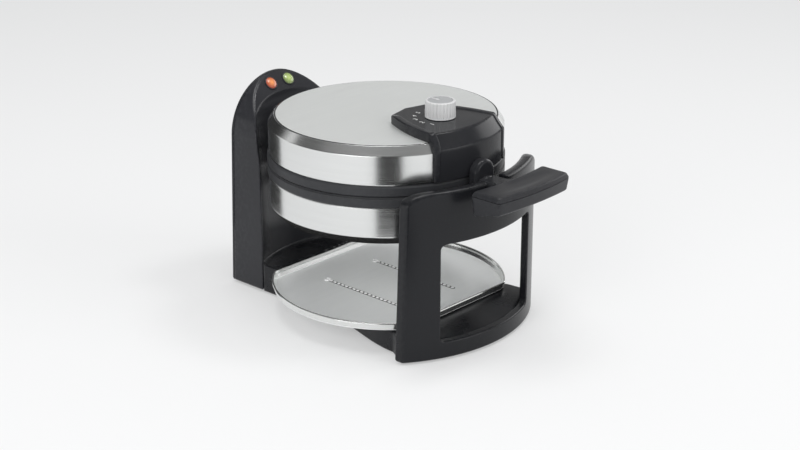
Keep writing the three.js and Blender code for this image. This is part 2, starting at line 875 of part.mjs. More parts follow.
function towerShell() {
  const outer = prismBack(towerOutline(0), towerFrontY, towerBack)
    .subtract(headRoom(0)).subtract(panelCut(0));
  const room = prismBack(towerOutline(towerWall), towerFrontY - overrun, towerBack + overrun)
    .subtract(headRoom(towerWall)).subtract(panelCut(towerWall));
  let shell = outer.subtract(room);
  for (const [x, z] of bossPlaces()) {
    const boss = rod(backBossRadius, [x, towerBack - backBossLength, z], [x, towerBack, z])
      .intersect(outer);
    shell = shell.add(boss);
    shell = shell.subtract(rod(backScrewShank + seatGap, [x, backFace - backScrewLength - seatGap, z],
      [x, towerBack + overrun, z], screwFacets));
  }
  const ribStart = towerReachAt(axisHeight);
  const ribLow = stopFingerHalf + seatGap;
  const rib = rod(stopFingerReach, [0, ribStart, 0], [0, stopStart + stopLength, 0])
    .subtract(rod(stopRibInner, [0, ribStart - overrun, 0], [0, clipStart + overrun, 0]))
    .intersect(block(-headRadius, headRadius, ribStart, towerBack, ribLow, shellTop));
  shell = shell.add(upperHalf(rib).intersect(outer));
  shell = shell.subtract(rod(bushRadius + seatGap, [0, towerFrontY, axisHeight],
    [0, bushEnd, axisHeight]));
  for (const x of [-lightSpacing / 2, lightSpacing / 2]) {
    shell = shell.subtract(rod(lensStem + seatGap, alongPanel(x, -overrun), alongPanel(x, overrun)));
  }
  for (const x of [-footRearX, footRearX]) {
    shell = shell.subtract(rod(footStemRadius + seatGap, [x, footRearY, -overrun],
      [x, footRearY, floorGap + towerWall + overrun]));
  }
  return shell;
}

function towerBackCover() {
  let plate = prismBack(towerOutline(0), coverPlateFront, backFace);
  plate = plate.subtract(panelCut(0));
  for (const x of [-boardPostX, boardPostX]) {
    const height = (boardBottom + boardTop) / 2;
    plate = plate.add(rod(boardPostRadius, [x, boardY + boardThickness + seatGap, height],
      [x, backFace - seatGap, height]));
  }
  for (const x of [-terminalHalfWidth / 2, terminalHalfWidth / 2]) {
    const height = (terminalBottom + terminalTop) / 2;
    plate = plate.add(rod(boardPostRadius, [x, terminalBack + seatGap, height],
      [x, backFace - seatGap, height]));
  }
  for (const [x, z] of bossPlaces()) {
    plate = plate.subtract(rod(backScrewShank + seatGap, [x, towerBack - overrun, z],
      [x, backFace + overrun, z], screwFacets));
    plate = plate.subtract(rod(backScrewHead + seatGap, [x, backFace - backScrewHeadDepth - seatGap, z],
      [x, backFace + overrun, z], screwFacets));
  }
  return plate.subtract(rod(glandRadius + seatGap, [glandX, towerBack - overrun, glandHeight],
    [glandX, backFace + overrun, glandHeight]));
}

function backScrew(x, z) {
  const under = backFace - backScrewHeadDepth;
  return rod(backScrewHead, [x, under, z], [x, backFace, z], screwFacets)
    .add(rod(backScrewShank, [x, backFace - backScrewLength, z], [x, under + seatGap, z], screwFacets));
}

function lens(x) {
  const dome = [];
  for (let i = 0; i <= smallArcSteps; i += 1) {
    const angle = Math.PI / 2 * i / smallArcSteps;
    dome.push([lensHead * Math.cos(angle), lensRim + lensRise * Math.sin(angle)]);
  }
  dome[dome.length - 1][0] = 0;
  const body = turned([[0, -lensDepth], [lensStem, -lensDepth], [lensStem, seatGap], [lensHead, seatGap],
    ...dome], tubeFacets);
  const tilt = THREE.MathUtils.radToDeg(panelTilt);
  return body.rotate([tilt, 0, 0]).translate([x, lightY, lightHeight]);
}

function lamp(x) {
  const middle = boardY + boardThickness / 2;
  return rod(lampRadius, [x, middle, boardTop + seatGap], [x, middle, lampTop], screwFacets);
}

function lampBoard() {
  return block(-boardHalfWidth, boardHalfWidth, boardY, boardY + boardThickness, boardBottom, boardTop);
}

function terminalBlock() {
  return block(-terminalHalfWidth, terminalHalfWidth, terminalFront, terminalBack,
    terminalBottom, terminalTop);
}

function cordGland() {
  const inner = towerBack - glandRimWidth;
  const stem = glandRadius;
  return turnedBack([
    [glandBore, inner],
    [stem, inner],
    [stem, backFace + seatGap],
    [stem + glandRimWidth, backFace + seatGap],
    [stem + glandRimWidth, glandBack],
    [glandBore, glandBack],
  ], glandX, glandHeight);
}

// Drip tray: a round dish with a flat edge in front and behind

function trayOutline(inset) {
  const radius = trayRadius - inset;
  const flat = trayFlat - inset;
  const fillet = trayCorner - inset;
  const centreX = Math.sqrt((radius - fillet) ** 2 - (flat - fillet) ** 2);
  const tangent = Math.atan2(flat - fillet, centreX);
  const side = arc(0, 0, radius, 0, tangent, arcSteps / 2);
  const corner = arc(centreX, flat - fillet, fillet, tangent, Math.PI / 2, smallArcSteps);
  const quarter = [...side, ...corner.slice(1)];
  const half = [...quarter, ...mirrored(quarter)];
  const all = [...half, ...half.slice(1, -1).map(([x, y]) => [x, -y]).reverse()];
  return all.map(([x, y]) => [x, y + trayCentreY]);
}

function dripTray() {
  return prismUp(trayOutline(0), trayUnderside, trayRimHeight)
    .subtract(prismUp(trayOutline(trayWall), trayFloorHeight, trayRimHeight + overrun));
}

// Base under the tray, narrow in the middle and wide at the stand

function baseOutline(inset) {
  const rear = baseRearReach - inset;
  const front = baseFrontReach - inset;
  const rearHalf = baseRearHalf - inset;
  const rearAngle = Math.acos(rearHalf / rear);
  const side = [];
  const steps = arcSteps / 2;
  for (let i = 0; i <= steps; i += 1) {
    const t = i / steps;
    const ease = t * t * (3 - 2 * t);
    const x = waistHalf + (baseFrontHalf - waistHalf) * ease - inset;
    side.push([x, waistY + (baseFrontY - waistY) * t]);
  }
  const cornerHalf = baseCornerHalf - inset;
  const cornerAngle = Math.acos(cornerHalf / front);
  const right = [...arc(0, 0, rear, rearAngle, Math.PI / 2, arcSteps / 2).reverse().slice(1), ...side];
  const nose = arc(0, standCentreY, front, -cornerAngle, -Math.PI / 2, arcSteps / 2).slice(0, -1);
  const half = [...right, ...nose];
  return [[0, rear], ...half, [0, standCentreY - front], ...mirrored(half)];
}

function slopeCut(drop) {
  const end = -standRadius;
  const deck = deckHeight - drop;
  return prismAcross([[slopeStartY, deck], [slopeStartY, deck + standTop], [end, deck + standTop],
    [end, deck - slopeDrop]], -standRadius, standRadius);
}

const stepY = trayCentreY + trayFlat + rearStepClear;
const basePlaces = [[-frontScrewX, frontScrewY], [frontScrewX, frontScrewY],
  [-rearScrewX, rearScrewY], [rearScrewX, rearScrewY]];
const coverUnder = floorGap;
const coverOver = floorGap + bottomCoverThickness;

function baseShell() {
  const wide = standRadius;
  const deckOuter = prismUp(baseOutline(0), floorGap, rearStepHeight)
    .subtract(block(-wide, wide, -wide, stepY, deckHeight, rearStepHeight + overrun))
    .subtract(slopeCut(0));
  const deckInner = prismUp(baseOutline(baseWall), -overrun, rearStepHeight - baseWall)
    .subtract(block(-wide, wide, -wide, stepY + baseWall,
      deckHeight - baseWall, rearStepHeight + overrun))
    .subtract(slopeCut(baseWall));
  let base = deckOuter.subtract(deckInner);
  for (const [x, y] of basePlaces) {
    base = base.add(rod(baseBossRadius, [x, y, coverOver + seatGap], [x, y, deckHeight - seatGap]));
    base = base.subtract(rod(baseScrewShank + seatGap, [x, y, -overrun],
      [x, y, coverUnder + baseScrewLength + seatGap], screwFacets));
  }
  return base;
}

function bottomCover() {
  let plate = prismUp(baseOutline(baseWall + seatGap), coverUnder, coverOver);
  for (const [x, y] of basePlaces) {
    plate = plate.subtract(rod(baseScrewShank + seatGap, [x, y, -overrun],
      [x, y, deckHeight], screwFacets));
    plate = plate.subtract(rod(baseScrewHead + seatGap, [x, y, -overrun],
      [x, y, coverUnder + baseScrewHeadHeight], screwFacets));
  }
  for (const x of [-footFrontX, footFrontX]) {
    plate = plate.subtract(rod(footStemRadius + seatGap, [x, footFrontY, -overrun],
      [x, footFrontY, deckHeight]));
  }
  return plate;
}

function baseScrew(x, y) {
  const under = coverUnder + baseScrewHeadHeight - seatGap;
  return rod(baseScrewHead, [x, y, coverUnder], [x, y, under], screwFacets)
    .add(rod(baseScrewShank, [x, y, under - seatGap], [x, y, coverUnder + baseScrewLength], screwFacets));
}

function rubberFoot(x, y, floor) {
  return rod(footRadius, [x, y, 0], [x, y, floorGap - seatGap])
    .add(rod(footStemRadius, [x, y, floorGap / 2], [x, y, floorGap + floor]));
}

// Front stand

function standOutline() {
  const top = arc(0, 0, 1, 0, Math.PI / 2, smallArcSteps).map(([x, z]) => [
    standTopHalf + (standShoulderHalf - standTopHalf) * x,
    standShoulderHeight + (standTop - standShoulderHeight) * z,
  ]);
  const notch = neckRadius + runGap;
  const right = [[standFootHalf, floorGap], ...top, [notch, standTop]];
  const cradle = arc(0, axisHeight, notch, 0, -Math.PI, 2 * arcSteps);
  return [...right, ...cradle, ...mirrored(right)];
}

function windowOutline() {
  const x = windowHalf - windowCorner;
  const low = windowBottom + windowCorner;
  const high = windowTop - windowCorner;
  const turn = Math.PI / 2;
  return [
    ...arc(x, high, windowCorner, 0, turn, smallArcSteps),
    ...arc(-x, high, windowCorner, turn, 2 * turn, smallArcSteps),
    ...arc(-x, low, windowCorner, 2 * turn, 3 * turn, smallArcSteps),
    ...arc(x, low, windowCorner, 3 * turn, 4 * turn, smallArcSteps),
  ];
}

// A stretch of the stand's curved wall between two radii
function curvedWall(inner, outer, low, high) {
  const half = Math.asin(standFootHalf / standRadius) * standTurnShare;
  const middle = -Math.PI / 2;
  return prismUp([
    ...arc(0, standCentreY, outer, middle - half, middle + half, arcSteps * 2),
    ...arc(0, standCentreY, inner, middle + half, middle - half, arcSteps * 2),
  ], low, high);
}

function frontStand() {
  const lip = curvedWall(standRadius - standLip, standRadius - standWall / 2,
    standTop - standLipHeight, standTop);
  const wall = curvedWall(standRadius - standWall, standRadius, floorGap, standTop).add(lip);
  return wall.intersect(prismBack(standOutline(), -standRadius, 0, [windowOutline()]));
}

// Folding grip in two shells, with its pin and screws

function gripBody() {
  const section = [
    [gripInnerY + overrun, gripInnerBottom],
    [gripInnerY + overrun, gripTop],
    [gripFrontY + gripNoseDepth, gripTop],
    [gripFrontY, gripOuterHeight],
    [gripFrontY + gripNoseDepth, gripOuterBottom],
    [gripInnerY - gripInnerBow, gripInnerBottom],
  ];
  const edge = (y, bow) => {
    const points = [];
    for (let i = 0; i <= arcSteps / 2; i += 1) {
      const share = 1 - 4 * i / arcSteps;
      points.push([gripHalfWidth * share, y - bow * (1 - share * share)]);
    }
    return points;
  };
  const plan = [...edge(gripInnerY, gripInnerBow).reverse(), ...edge(gripOuterY, gripOuterBow)];
  return prismAcross(section, -gripHalfWidth - overrun, gripHalfWidth + overrun)
    .intersect(prismUp(plan, gripInnerBottom - overrun, gripTop + overrun));
}

const gripScrewBottom = gripInnerBottom + (gripOuterBottom - gripInnerBottom)
  * (gripInnerY - gripInnerBow - gripScrewY) / (gripInnerY - gripInnerBow - gripFrontY - gripNoseDepth);
const gripScrewSeat = gripScrewBottom + gripScrewCounterbore;

function gripTopShell() {
  const low = gripSplit + seatGap;
  let shell = gripBody()
    .intersect(block(-standRadius, standRadius, -2 * standRadius, 0, low, gripTop + overrun));
  for (const x of [-gripScrewX, gripScrewX]) {
    shell = shell.subtract(rod(gripScrewShank + seatGap, [x, gripScrewY, low - overrun],
      [x, gripScrewY, gripSplit + gripScrewBite + seatGap], screwFacets));
  }
  return shell;
}

function gripBottomShell() {
  const slotX = knuckleHalfWidth + runGap;
  const slotY = foldAxisY - knuckleRadius - runGap;
  let shell = gripBody().intersect(block(-standRadius, standRadius, -2 * standRadius, 0, 0, gripSplit));
  shell = shell.subtract(block(-slotX, slotX, slotY, 0, 0, gripTop));
  shell = shell.subtract(rod(foldPinRadius + runGap, [-foldPinX - seatGap, foldAxisY, foldAxisHeight],
    [foldPinX + seatGap, foldAxisY, foldAxisHeight]));
  for (const x of [-gripScrewX, gripScrewX]) {
    shell = shell.subtract(rod(gripScrewShank + seatGap, [x, gripScrewY, 0],
      [x, gripScrewY, gripTop], screwFacets));
    shell = shell.subtract(rod(gripScrewHead + seatGap, [x, gripScrewY, 0],
      [x, gripScrewY, gripScrewSeat], screwFacets));
  }
  return shell;
}

function gripScrew(x) {
  const head = gripScrewSeat - seatGap;
  return rod(gripScrewHead, [x, gripScrewY, head - gripScrewHeadHeight], [x, gripScrewY, head], screwFacets)
    .add(rod(gripScrewShank, [x, gripScrewY, head - seatGap], [x, gripScrewY, gripSplit + gripScrewBite],
      screwFacets));
}

function foldPin() {
  return rod(foldPinRadius, [-foldPinX, foldAxisY, foldAxisHeight], [foldPinX, foldAxisY, foldAxisHeight]);
}

// The whole object; its origin is moved to the middle of its footprint
const base = new THREE.Group();
base.add(
  meshOf("base_shell", baseShell(), blackGloss),
  meshOf("base_bottom_cover", bottomCover(), blackSatin),
  meshOf("front_stand", frontStand(), blackGloss),
  meshOf("tower_shell", towerShell(), blackGloss),
  meshOf("tower_back_cover", towerBackCover(), blackSatin),
  meshOf("tower_bush", towerBush(), ceramic),
  meshOf("power_lens", lens(-lightSpacing / 2), lensRed),
  meshOf("ready_lens", lens(lightSpacing / 2), lensGreen),
  meshOf("power_lamp", lamp(-lightSpacing / 2), lampGlass),
  meshOf("ready_lamp", lamp(lightSpacing / 2), lampGlass),
  meshOf("lamp_board", lampBoard(), boardGreen),
  meshOf("terminal_block", terminalBlock(), ceramic),
  meshOf("cord_gland", cordGland(), rubberBlack),
);
const corners = ["front_left", "front_right", "rear_left", "rear_right"];
const footPlaces = [[-footFrontX, footFrontY], [footFrontX, footFrontY], [-footRearX, footRearY],
  [footRearX, footRearY]];
footPlaces.forEach(([x, y], i) => {
  const floor = y < 0 ? bottomCoverThickness : towerWall;
  base.add(meshOf(`foot_${corners[i]}`, rubberFoot(x, y, floor), rubberBlack));
});
basePlaces.forEach(([x, y], i) => base.add(meshOf(`base_screw_${corners[i]}`, baseScrew(x, y), zincSteel)));
const backCorners = ["lower_left", "lower_right", "upper_left", "upper_right"];
bossPlaces().forEach(([x, z], i) => {
  base.add(meshOf(`back_screw_${backCorners[i]}`, backScrew(x, z), zincSteel));
});

const lowerGroup = new THREE.Group();
lowerGroup.add(
  meshOf("lower_shell", lowerHalf(shellHalf()), stainless),
  meshOf("lower_ring", lowerHalf(ringHalf()), phenolic),
  meshOf("lower_grid_plate", lowerHalf(gridPlate()), nonStick),
  meshOf("lower_heater", lowerHalf(heaterRing()), elementSteel),
  meshOf("lower_reflector", lowerHalf(reflectorDisc()), zincSteel),
  meshOf("lower_arm", lowerArm(), blackGloss),
  meshOf("hinge_bracket", hingeBracket(), blackSatin),
  meshOf("hinge_pin", hingePin(), zincSteel),
  meshOf("turn_shaft", turnShaft(), zincSteel),
  meshOf("stop_collar", stopCollar(), zincSteel),
  meshOf("shaft_clip", shaftClip(), zincSteel),
);

const lidGroup = new THREE.Group();
lidGroup.add(
  meshOf("lid_shell", lidShell(), stainless),
  meshOf("lid_ring", upperHalf(ringHalf()), phenolic),
  meshOf("lid_grid_plate", upperHalf(gridPlate()), nonStick),
  meshOf("lid_heater", upperHalf(heaterRing()), elementSteel),
  meshOf("lid_reflector", upperHalf(reflectorDisc()), zincSteel),
  meshOf("lid_hinge_lug", lidHingeLug(), blackSatin),
  meshOf("lid_arm", lidArm(), blackGloss),
  meshOf("control_cover", controlCover(), blackGloss),
  meshOf("thermostat", thermostat(), ceramic),
);

const knobGroup = new THREE.Group();
knobGroup.add(
  meshOf("control_knob", controlKnob(), knobWhite),
  meshOf("thermostat_shaft", thermostatShaft(), zincSteel),
);

const gripGroup = new THREE.Group();
gripGroup.add(
  meshOf("grip_top", gripTopShell(), blackGloss),
  meshOf("grip_bottom", gripBottomShell(), blackGloss),
  meshOf("grip_pin", foldPin(), zincSteel),
  meshOf("grip_screw_left", gripScrew(-gripScrewX), zincSteel),
  meshOf("grip_screw_right", gripScrew(gripScrewX), zincSteel),
);

const waffleMaker = new THREE.Group();
waffleMaker.add(base, lowerGroup, lidGroup, knobGroup, gripGroup);
waffleMaker.add(meshOf("drip_tray", dripTray(), traySteel));
waffleMaker.position.y = -(glandBack + gripFrontY) / 2;

export default waffleMaker;
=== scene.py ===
"""Dressed model of a flip-type round waffle maker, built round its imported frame.

Lengths are millimetres in the maker's drawing frame: the head's turning axis lies along Y at x = 0,
the head's centre line is the Z axis, the handle points to -Y and the floor is z = 0. Points go to the
frame's metres only when a mesh is made.
"""
import logging
import math
from dataclasses import dataclass, field
from enum import Enum
from typing import Callable, Sequence

import bmesh
import bpy
import numpy as np
from mathutils import Matrix, Vector


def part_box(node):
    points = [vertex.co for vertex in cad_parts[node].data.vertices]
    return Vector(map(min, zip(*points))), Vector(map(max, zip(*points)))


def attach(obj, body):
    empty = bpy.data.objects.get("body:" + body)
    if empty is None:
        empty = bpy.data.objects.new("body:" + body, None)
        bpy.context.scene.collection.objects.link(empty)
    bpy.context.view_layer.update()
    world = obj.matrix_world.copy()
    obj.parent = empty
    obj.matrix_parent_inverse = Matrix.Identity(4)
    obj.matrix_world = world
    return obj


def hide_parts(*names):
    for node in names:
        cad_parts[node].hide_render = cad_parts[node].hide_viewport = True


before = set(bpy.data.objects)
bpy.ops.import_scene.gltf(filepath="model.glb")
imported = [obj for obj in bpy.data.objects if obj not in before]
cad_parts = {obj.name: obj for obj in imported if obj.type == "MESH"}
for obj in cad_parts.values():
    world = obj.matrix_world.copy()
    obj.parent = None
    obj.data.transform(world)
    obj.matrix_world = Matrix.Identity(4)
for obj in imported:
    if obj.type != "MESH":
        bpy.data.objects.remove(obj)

Array = np.ndarray
Socket = bpy.types.NodeSocket
Colour = tuple[float, float, float]
Face = Callable[[Array, Array], Array] | float
LOG = logging.getLogger("waffle_maker")

MM = 0.001
ROW_SHIFT = 13.35
SHIFT = np.array([0, ROW_SHIFT, 0])
FLIP = np.array([-1, 1])
WELD = 2e-6
TINY = 1e-9
SAME_POINT = 1e-6
NEARLY_STRAIGHT = 1.55

AXIS_HEIGHT = 152.0
HEAD_RADIUS = 112.0


# ---------------------------------------------------------------------------------------------------
# Points and paths
# ---------------------------------------------------------------------------------------------------

def in_row(points: Sequence[float] | Array) -> Array:
    """Drawing points in the row frame's metres."""
    return (np.asarray(points, float) + SHIFT) * MM


def node_box(node: str) -> tuple[Array, Array]:
    """A frame node's lowest and highest corner in the drawing frame."""
    low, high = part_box(node)
    return np.array(low) / MM - SHIFT, np.array(high) / MM - SHIFT


def joined(*columns: Array | float) -> Array:
    """Coordinates paired into points over the shape that they share."""
    return np.stack(np.broadcast_arrays(*columns), axis=-1)


def around(steps: int) -> Array:
    """Angles evenly round a circle, the first at 0."""
    return np.linspace(0, 2 * math.pi, steps, endpoint=False)


def circle(angle: Array) -> Array:
    """Points (cos a, sin a)."""
    return joined(np.cos(angle), np.sin(angle))


def arc(centre: Sequence[float], radius: float, start: float, end: float, steps: int) -> Array:
    """Points centre + radius * (cos a, sin a), for steps + 1 angles a from start to end in degrees."""
    return np.array(centre) + radius * circle(np.radians(np.linspace(start, end, steps + 1)))


def unit(vectors: Array) -> Array:
    """The vectors at length 1."""
    return vectors / np.maximum(np.linalg.norm(vectors, axis=-1, keepdims=True), TINY)


def left_of(vectors: Array) -> Array:
    """Plane vectors turned a quarter to the left."""
    return joined(-vectors[:, 1], vectors[:, 0])


def mirrored(path: Array) -> Array:
    """A plane path's image across x = 0, run backwards so that it can follow the path."""
    return (path * FLIP)[::-1]


def ways(path: Array) -> Array:
    """The way along a path to each of its points."""
    return np.concatenate([[0], np.cumsum(np.linalg.norm(np.diff(path, axis=0), axis=1))])


def points_at(path: Array, way: Array, wanted: Array) -> Array:
    """A path's points at the wanted ways along it, by linear steps between its own."""
    return joined(*(np.interp(wanted, way, column) for column in path.T))


def filleted(corners: Array | list, radii: Array | list | float, steps: int = 5, closed: bool = True) -> Array:
    """Rounds the corners of a path: each corner gives way to the arc that touches both its sides.

    The arc's centre lies on the corner's bisector at radius / sin(half angle), and its points turn
    evenly from one touching point to the other.

    Args:
        corners: Corner points in order.
        radii: One radius, or one for each corner; zero keeps a corner sharp.
        steps: Steps in each arc.
        closed: Whether the last corner joins the first.

    Returns:
        The rounded path, without its first point repeated at the end.
    """
    p = np.asarray(corners, float)
    r = np.broadcast_to(np.asarray(radii, float), (len(p),)).copy()
    if not closed:
        r[[0, -1]] = 0
    u, v = unit(np.roll(p, 1, axis=0) - p), unit(np.roll(p, -1, axis=0) - p)
    half = np.arccos(np.clip((u * v).sum(1), -1, 1)) / 2
    r = np.where(half > NEARLY_STRAIGHT, 0, r)
    reach = (r / np.tan(np.maximum(half, 1e-3)))[:, None]
    centre = p + unit(u + v) * (r / np.sin(np.maximum(half, 1e-3)))[:, None]
    a, b = p + u * reach - centre, p + v * reach - centre
    turn = (math.pi - 2 * half)[:, None, None]
    t = np.linspace(0, 1, steps + 1)[None, :, None]
    bent = np.sin((1 - t) * turn) * a[:, None] + np.sin(t * turn) * b[:, None]
    bent = bent / np.maximum(np.sin(turn), 1e-6)
    path = np.where((r > 0)[:, None, None], centre[:, None] + bent, p[:, None]).reshape(-1, p.shape[1])
    return path[np.linalg.norm(path - np.roll(path, 1, axis=0), axis=1) > SAME_POINT]


def resampled(path: Array, count: int, closed: bool = True) -> Array:
    """Spaces count points evenly along a path."""
    loop = np.vstack([path, path[:1]]) if closed else path
    way = ways(loop)
    wanted = np.linspace(0, way[-1], count + 1)[:-1] if closed else np.linspace(0, way[-1], count)
    return points_at(loop, way, wanted)


def spaced(side: Array | list, spacing: float = 0.8) -> Array:
    """An open path with its points about a spacing apart."""
    side = np.asarray(side, float)
    return resampled(side, max(3, round(ways(side)[-1] / spacing) + 1), closed=False)


def rectangle(x0: float, y0: float, x1: float, y1: float) -> Array:
    """A rectangle's corners, anticlockwise from the lowest."""
    return np.array([[x0, y0], [x1, y0], [x1, y1], [x0, y1]], float)


def oblong(corners: Sequence[float], radii: list | float, steps: int, count: int) -> Array:
    """A rectangle (x0, y0, x1, y1) with rounded corners, its points evenly spaced."""
    return resampled(filleted(rectangle(*corners), radii, steps), count)


def anticlockwise(path: Array) -> Array:
    """The closed path in anticlockwise order, by the sign of its area."""
    x, y = path.T
    return path if (x * np.roll(y, -1) - y * np.roll(x, -1)).sum() > 0 else path[::-1]


def inward(path: Array) -> Array:
    """Unit normals of a closed anticlockwise path, pointing in: its tangent turned left."""
    return left_of(unit(np.roll(path, -1, axis=0) - np.roll(path, 1, axis=0)))


def insets_of(path: Array, insets: Array, step: float = 0.4, ease: float = 0.4) -> Array:
    """Rings of a closed anticlockwise path moved in by rising insets, with no folds at tight corners.

    The path moves in by small steps; after each, its points slide along it towards their neighbours'
    mean, so they stay spread out where a corner shrinks.

    Args:
        path: The path.
        insets: Distances in rising order.
        step: Largest move at once.
        ease: Share of the way to the neighbours' mean that a point slides.

    Returns:
        One ring of points for each inset.
    """
    rings, now, at = [], path.copy(), 0.0
    for inset in insets:
        moves = max(1, math.ceil(abs(inset - at) / step))
        for _ in range(moves if abs(inset - at) > TINY else 0):
            normal = inward(now)
            now = now + normal * (inset - at) / moves
            middle = (np.roll(now, 1, axis=0) + np.roll(now, -1, axis=0)) / 2 - now
            slide = ease * (middle - normal * (middle * normal).sum(1, keepdims=True))
            far = np.linalg.norm(slide, axis=1, keepdims=True) / (abs(inset - at) / moves)
            now = now + slide / np.maximum(far, 1.0)
        rings.append(now)
        at = inset
    return np.stack(rings)


def mitred(sides: Sequence[Array], inset: float, soften: int = 3, spare: float = 20.0) -> Array:
    """A closed outline made of sides that meet in corners, moved in by an inset.

    Each side moves along its own normals and loses inset / tan(half the corner) at each end, so that
    neighbours still meet; averaging every point with its neighbours then rounds the corners.

    Args:
        sides: The sides in anticlockwise order, each ending where the next starts.
        inset: How far the outline moves in.
        soften: Rounds of averaging.
        spare: Length by which a side is drawn on at each end, for hollow corners.

    Returns:
        The ring of points.
    """
    rings = []
    for k, side in enumerate(sides):
        before, after = sides[k - 1], sides[(k + 1) % len(sides)]
        along = unit(np.gradient(side, axis=0))
        moved = side + left_of(along) * inset
        way = ways(moved)
        trims = []
        for out, back in ((side[1] - side[0], before[-2] - side[0]),
                          (after[1] - side[-1], side[-2] - side[-1])):
            turn = math.atan2(out[0] * back[1] - out[1] * back[0], out @ back) % (2 * math.pi)
            trims.append(inset / math.tan(turn / 2))
        wanted = np.linspace(trims[0], way[-1] - trims[1], len(side))[:-1]
        longer = np.vstack([moved[0] - along[0] * spare, moved, moved[-1] + along[-1] * spare])
        rings.append(points_at(longer, np.concatenate([[-spare], way, [way[-1] + spare]]), wanted))
    ring = np.vstack(rings)
    for _ in range(soften):
        ring = (np.roll(ring, 1, axis=0) + 2 * ring + np.roll(ring, -1, axis=0)) / 4
    return ring


def to_centre(ring: Array, centre: Sequence[float], count: int) -> Array:
    """The rings by which one ring shrinks evenly to a centre, without the first."""
    middle = np.array(centre)
    return middle + (ring - middle) * np.linspace(1, 0, count + 1)[1:][:, None, None]


def smooth_step(value: Array | float, low: float, high: float) -> Array:
    """Rises from 0 at low to 1 at high along 3t^2 - 2t^3."""
    t = np.clip((value - low) / (high - low), 0, 1)
    return t * t * (3 - 2 * t)


def smooth_max(a: Array, b: Array, width: float) -> Array:
    """The larger of two values, rounded over a width where they cross: (a + b + sqrt((a - b)^2 + w^2)) / 2."""
    return (a + b + np.sqrt((a - b) ** 2 + width ** 2)) / 2


def round_face(radius: float, side: int = 1) -> Face:
    """A round face about the head's centre line: y = side * sqrt(radius^2 - x^2)."""
    return lambda x, z: side * np.sqrt(radius ** 2 - x ** 2)


# ---------------------------------------------------------------------------------------------------
# Surfaces: arrays of points in rows and columns
# ---------------------------------------------------------------------------------------------------

@dataclass
class Surface:
    """A grid of points, rows by columns by 3, that may close on itself in either direction."""

    points: Array
    wrap_rows: bool = False
    wrap_columns: bool = True

    def quads(self) -> Array:
        """Index of each cell's four corners."""
        rows, columns = self.points.shape[:2]
        r = np.arange(rows if self.wrap_rows else rows - 1)[:, None]
        c = np.arange(columns if self.wrap_columns else columns - 1)[None, :]
        r1, c1 = (r + 1) % rows, (c + 1) % columns
        corners = [r * columns + c, r * columns + c1, r1 * columns + c1, r1 * columns + c]
        return joined(*corners).reshape(-1, 4)

    def mapped(self, change: Callable[[Array], Array]) -> "Surface":
        """The same grid with its points passed through a function."""
        return Surface(change(self.points), self.wrap_rows, self.wrap_columns)

    def moved(self, x: float, y: float, z: float) -> "Surface":
        """The same grid, moved."""
        return self.mapped(lambda p: p + np.array([x, y, z]))


def turned(profile: Array, segments: int, origin: Sequence[float] = (0, 0, 0), axis: str = "z",
           wrap: bool = True) -> Surface:
    """Carries a profile of (radius, height) round an axis: (r cos a, r sin a, h).

    Args:
        profile: Points (radius, distance along the axis).
        segments: Steps round the axis.
        origin: A point that the axis passes through; heights count from it.
        axis: The axis: x, y or z.
        wrap: Whether the profile closes on itself.

    Returns:
        The surface.
    """
    angle = around(segments)
    r, h = profile.T[..., None]
    ring = joined(r * np.cos(angle), r * np.sin(angle), h)
    order = {"z": [0, 1, 2], "y": [1, 2, 0], "x": [2, 0, 1]}[axis]
    return Surface(ring[..., order] + np.array(origin, float), wrap)


def lathed(corners: list, radii: list | float, steps: int, segments: int, origin: Sequence[float] = (0, 0, 0),
           axis: str = "z", closed: bool = False) -> Surface:
    """Turns a profile of rounded corners about an axis.

    Args:
        corners: Points (radius, distance along the axis).
        radii: One rounding radius, or one for each corner.
        steps: Steps in each rounding.
        segments: Steps round the axis.
        origin: A point that the axis passes through; distances count from it.
        axis: The axis: x, y or z.
        closed: Whether the last corner joins the first; if not, both lie on the axis.

    Returns:
        The surface.
    """
    return turned(filleted(corners, radii, steps, closed), segments, origin, axis, closed)


def bar(radius: float, start: float, end: float, origin: Sequence[float], axis: str,
        fillet: float = 0.4, segments: int = 48) -> Surface:
    """A round bar with broken edges."""
    return lathed([[0, start], [radius, start], [radius, end], [0, end]], [0, fillet, fillet, 0], 3, segments,
                  origin, axis)


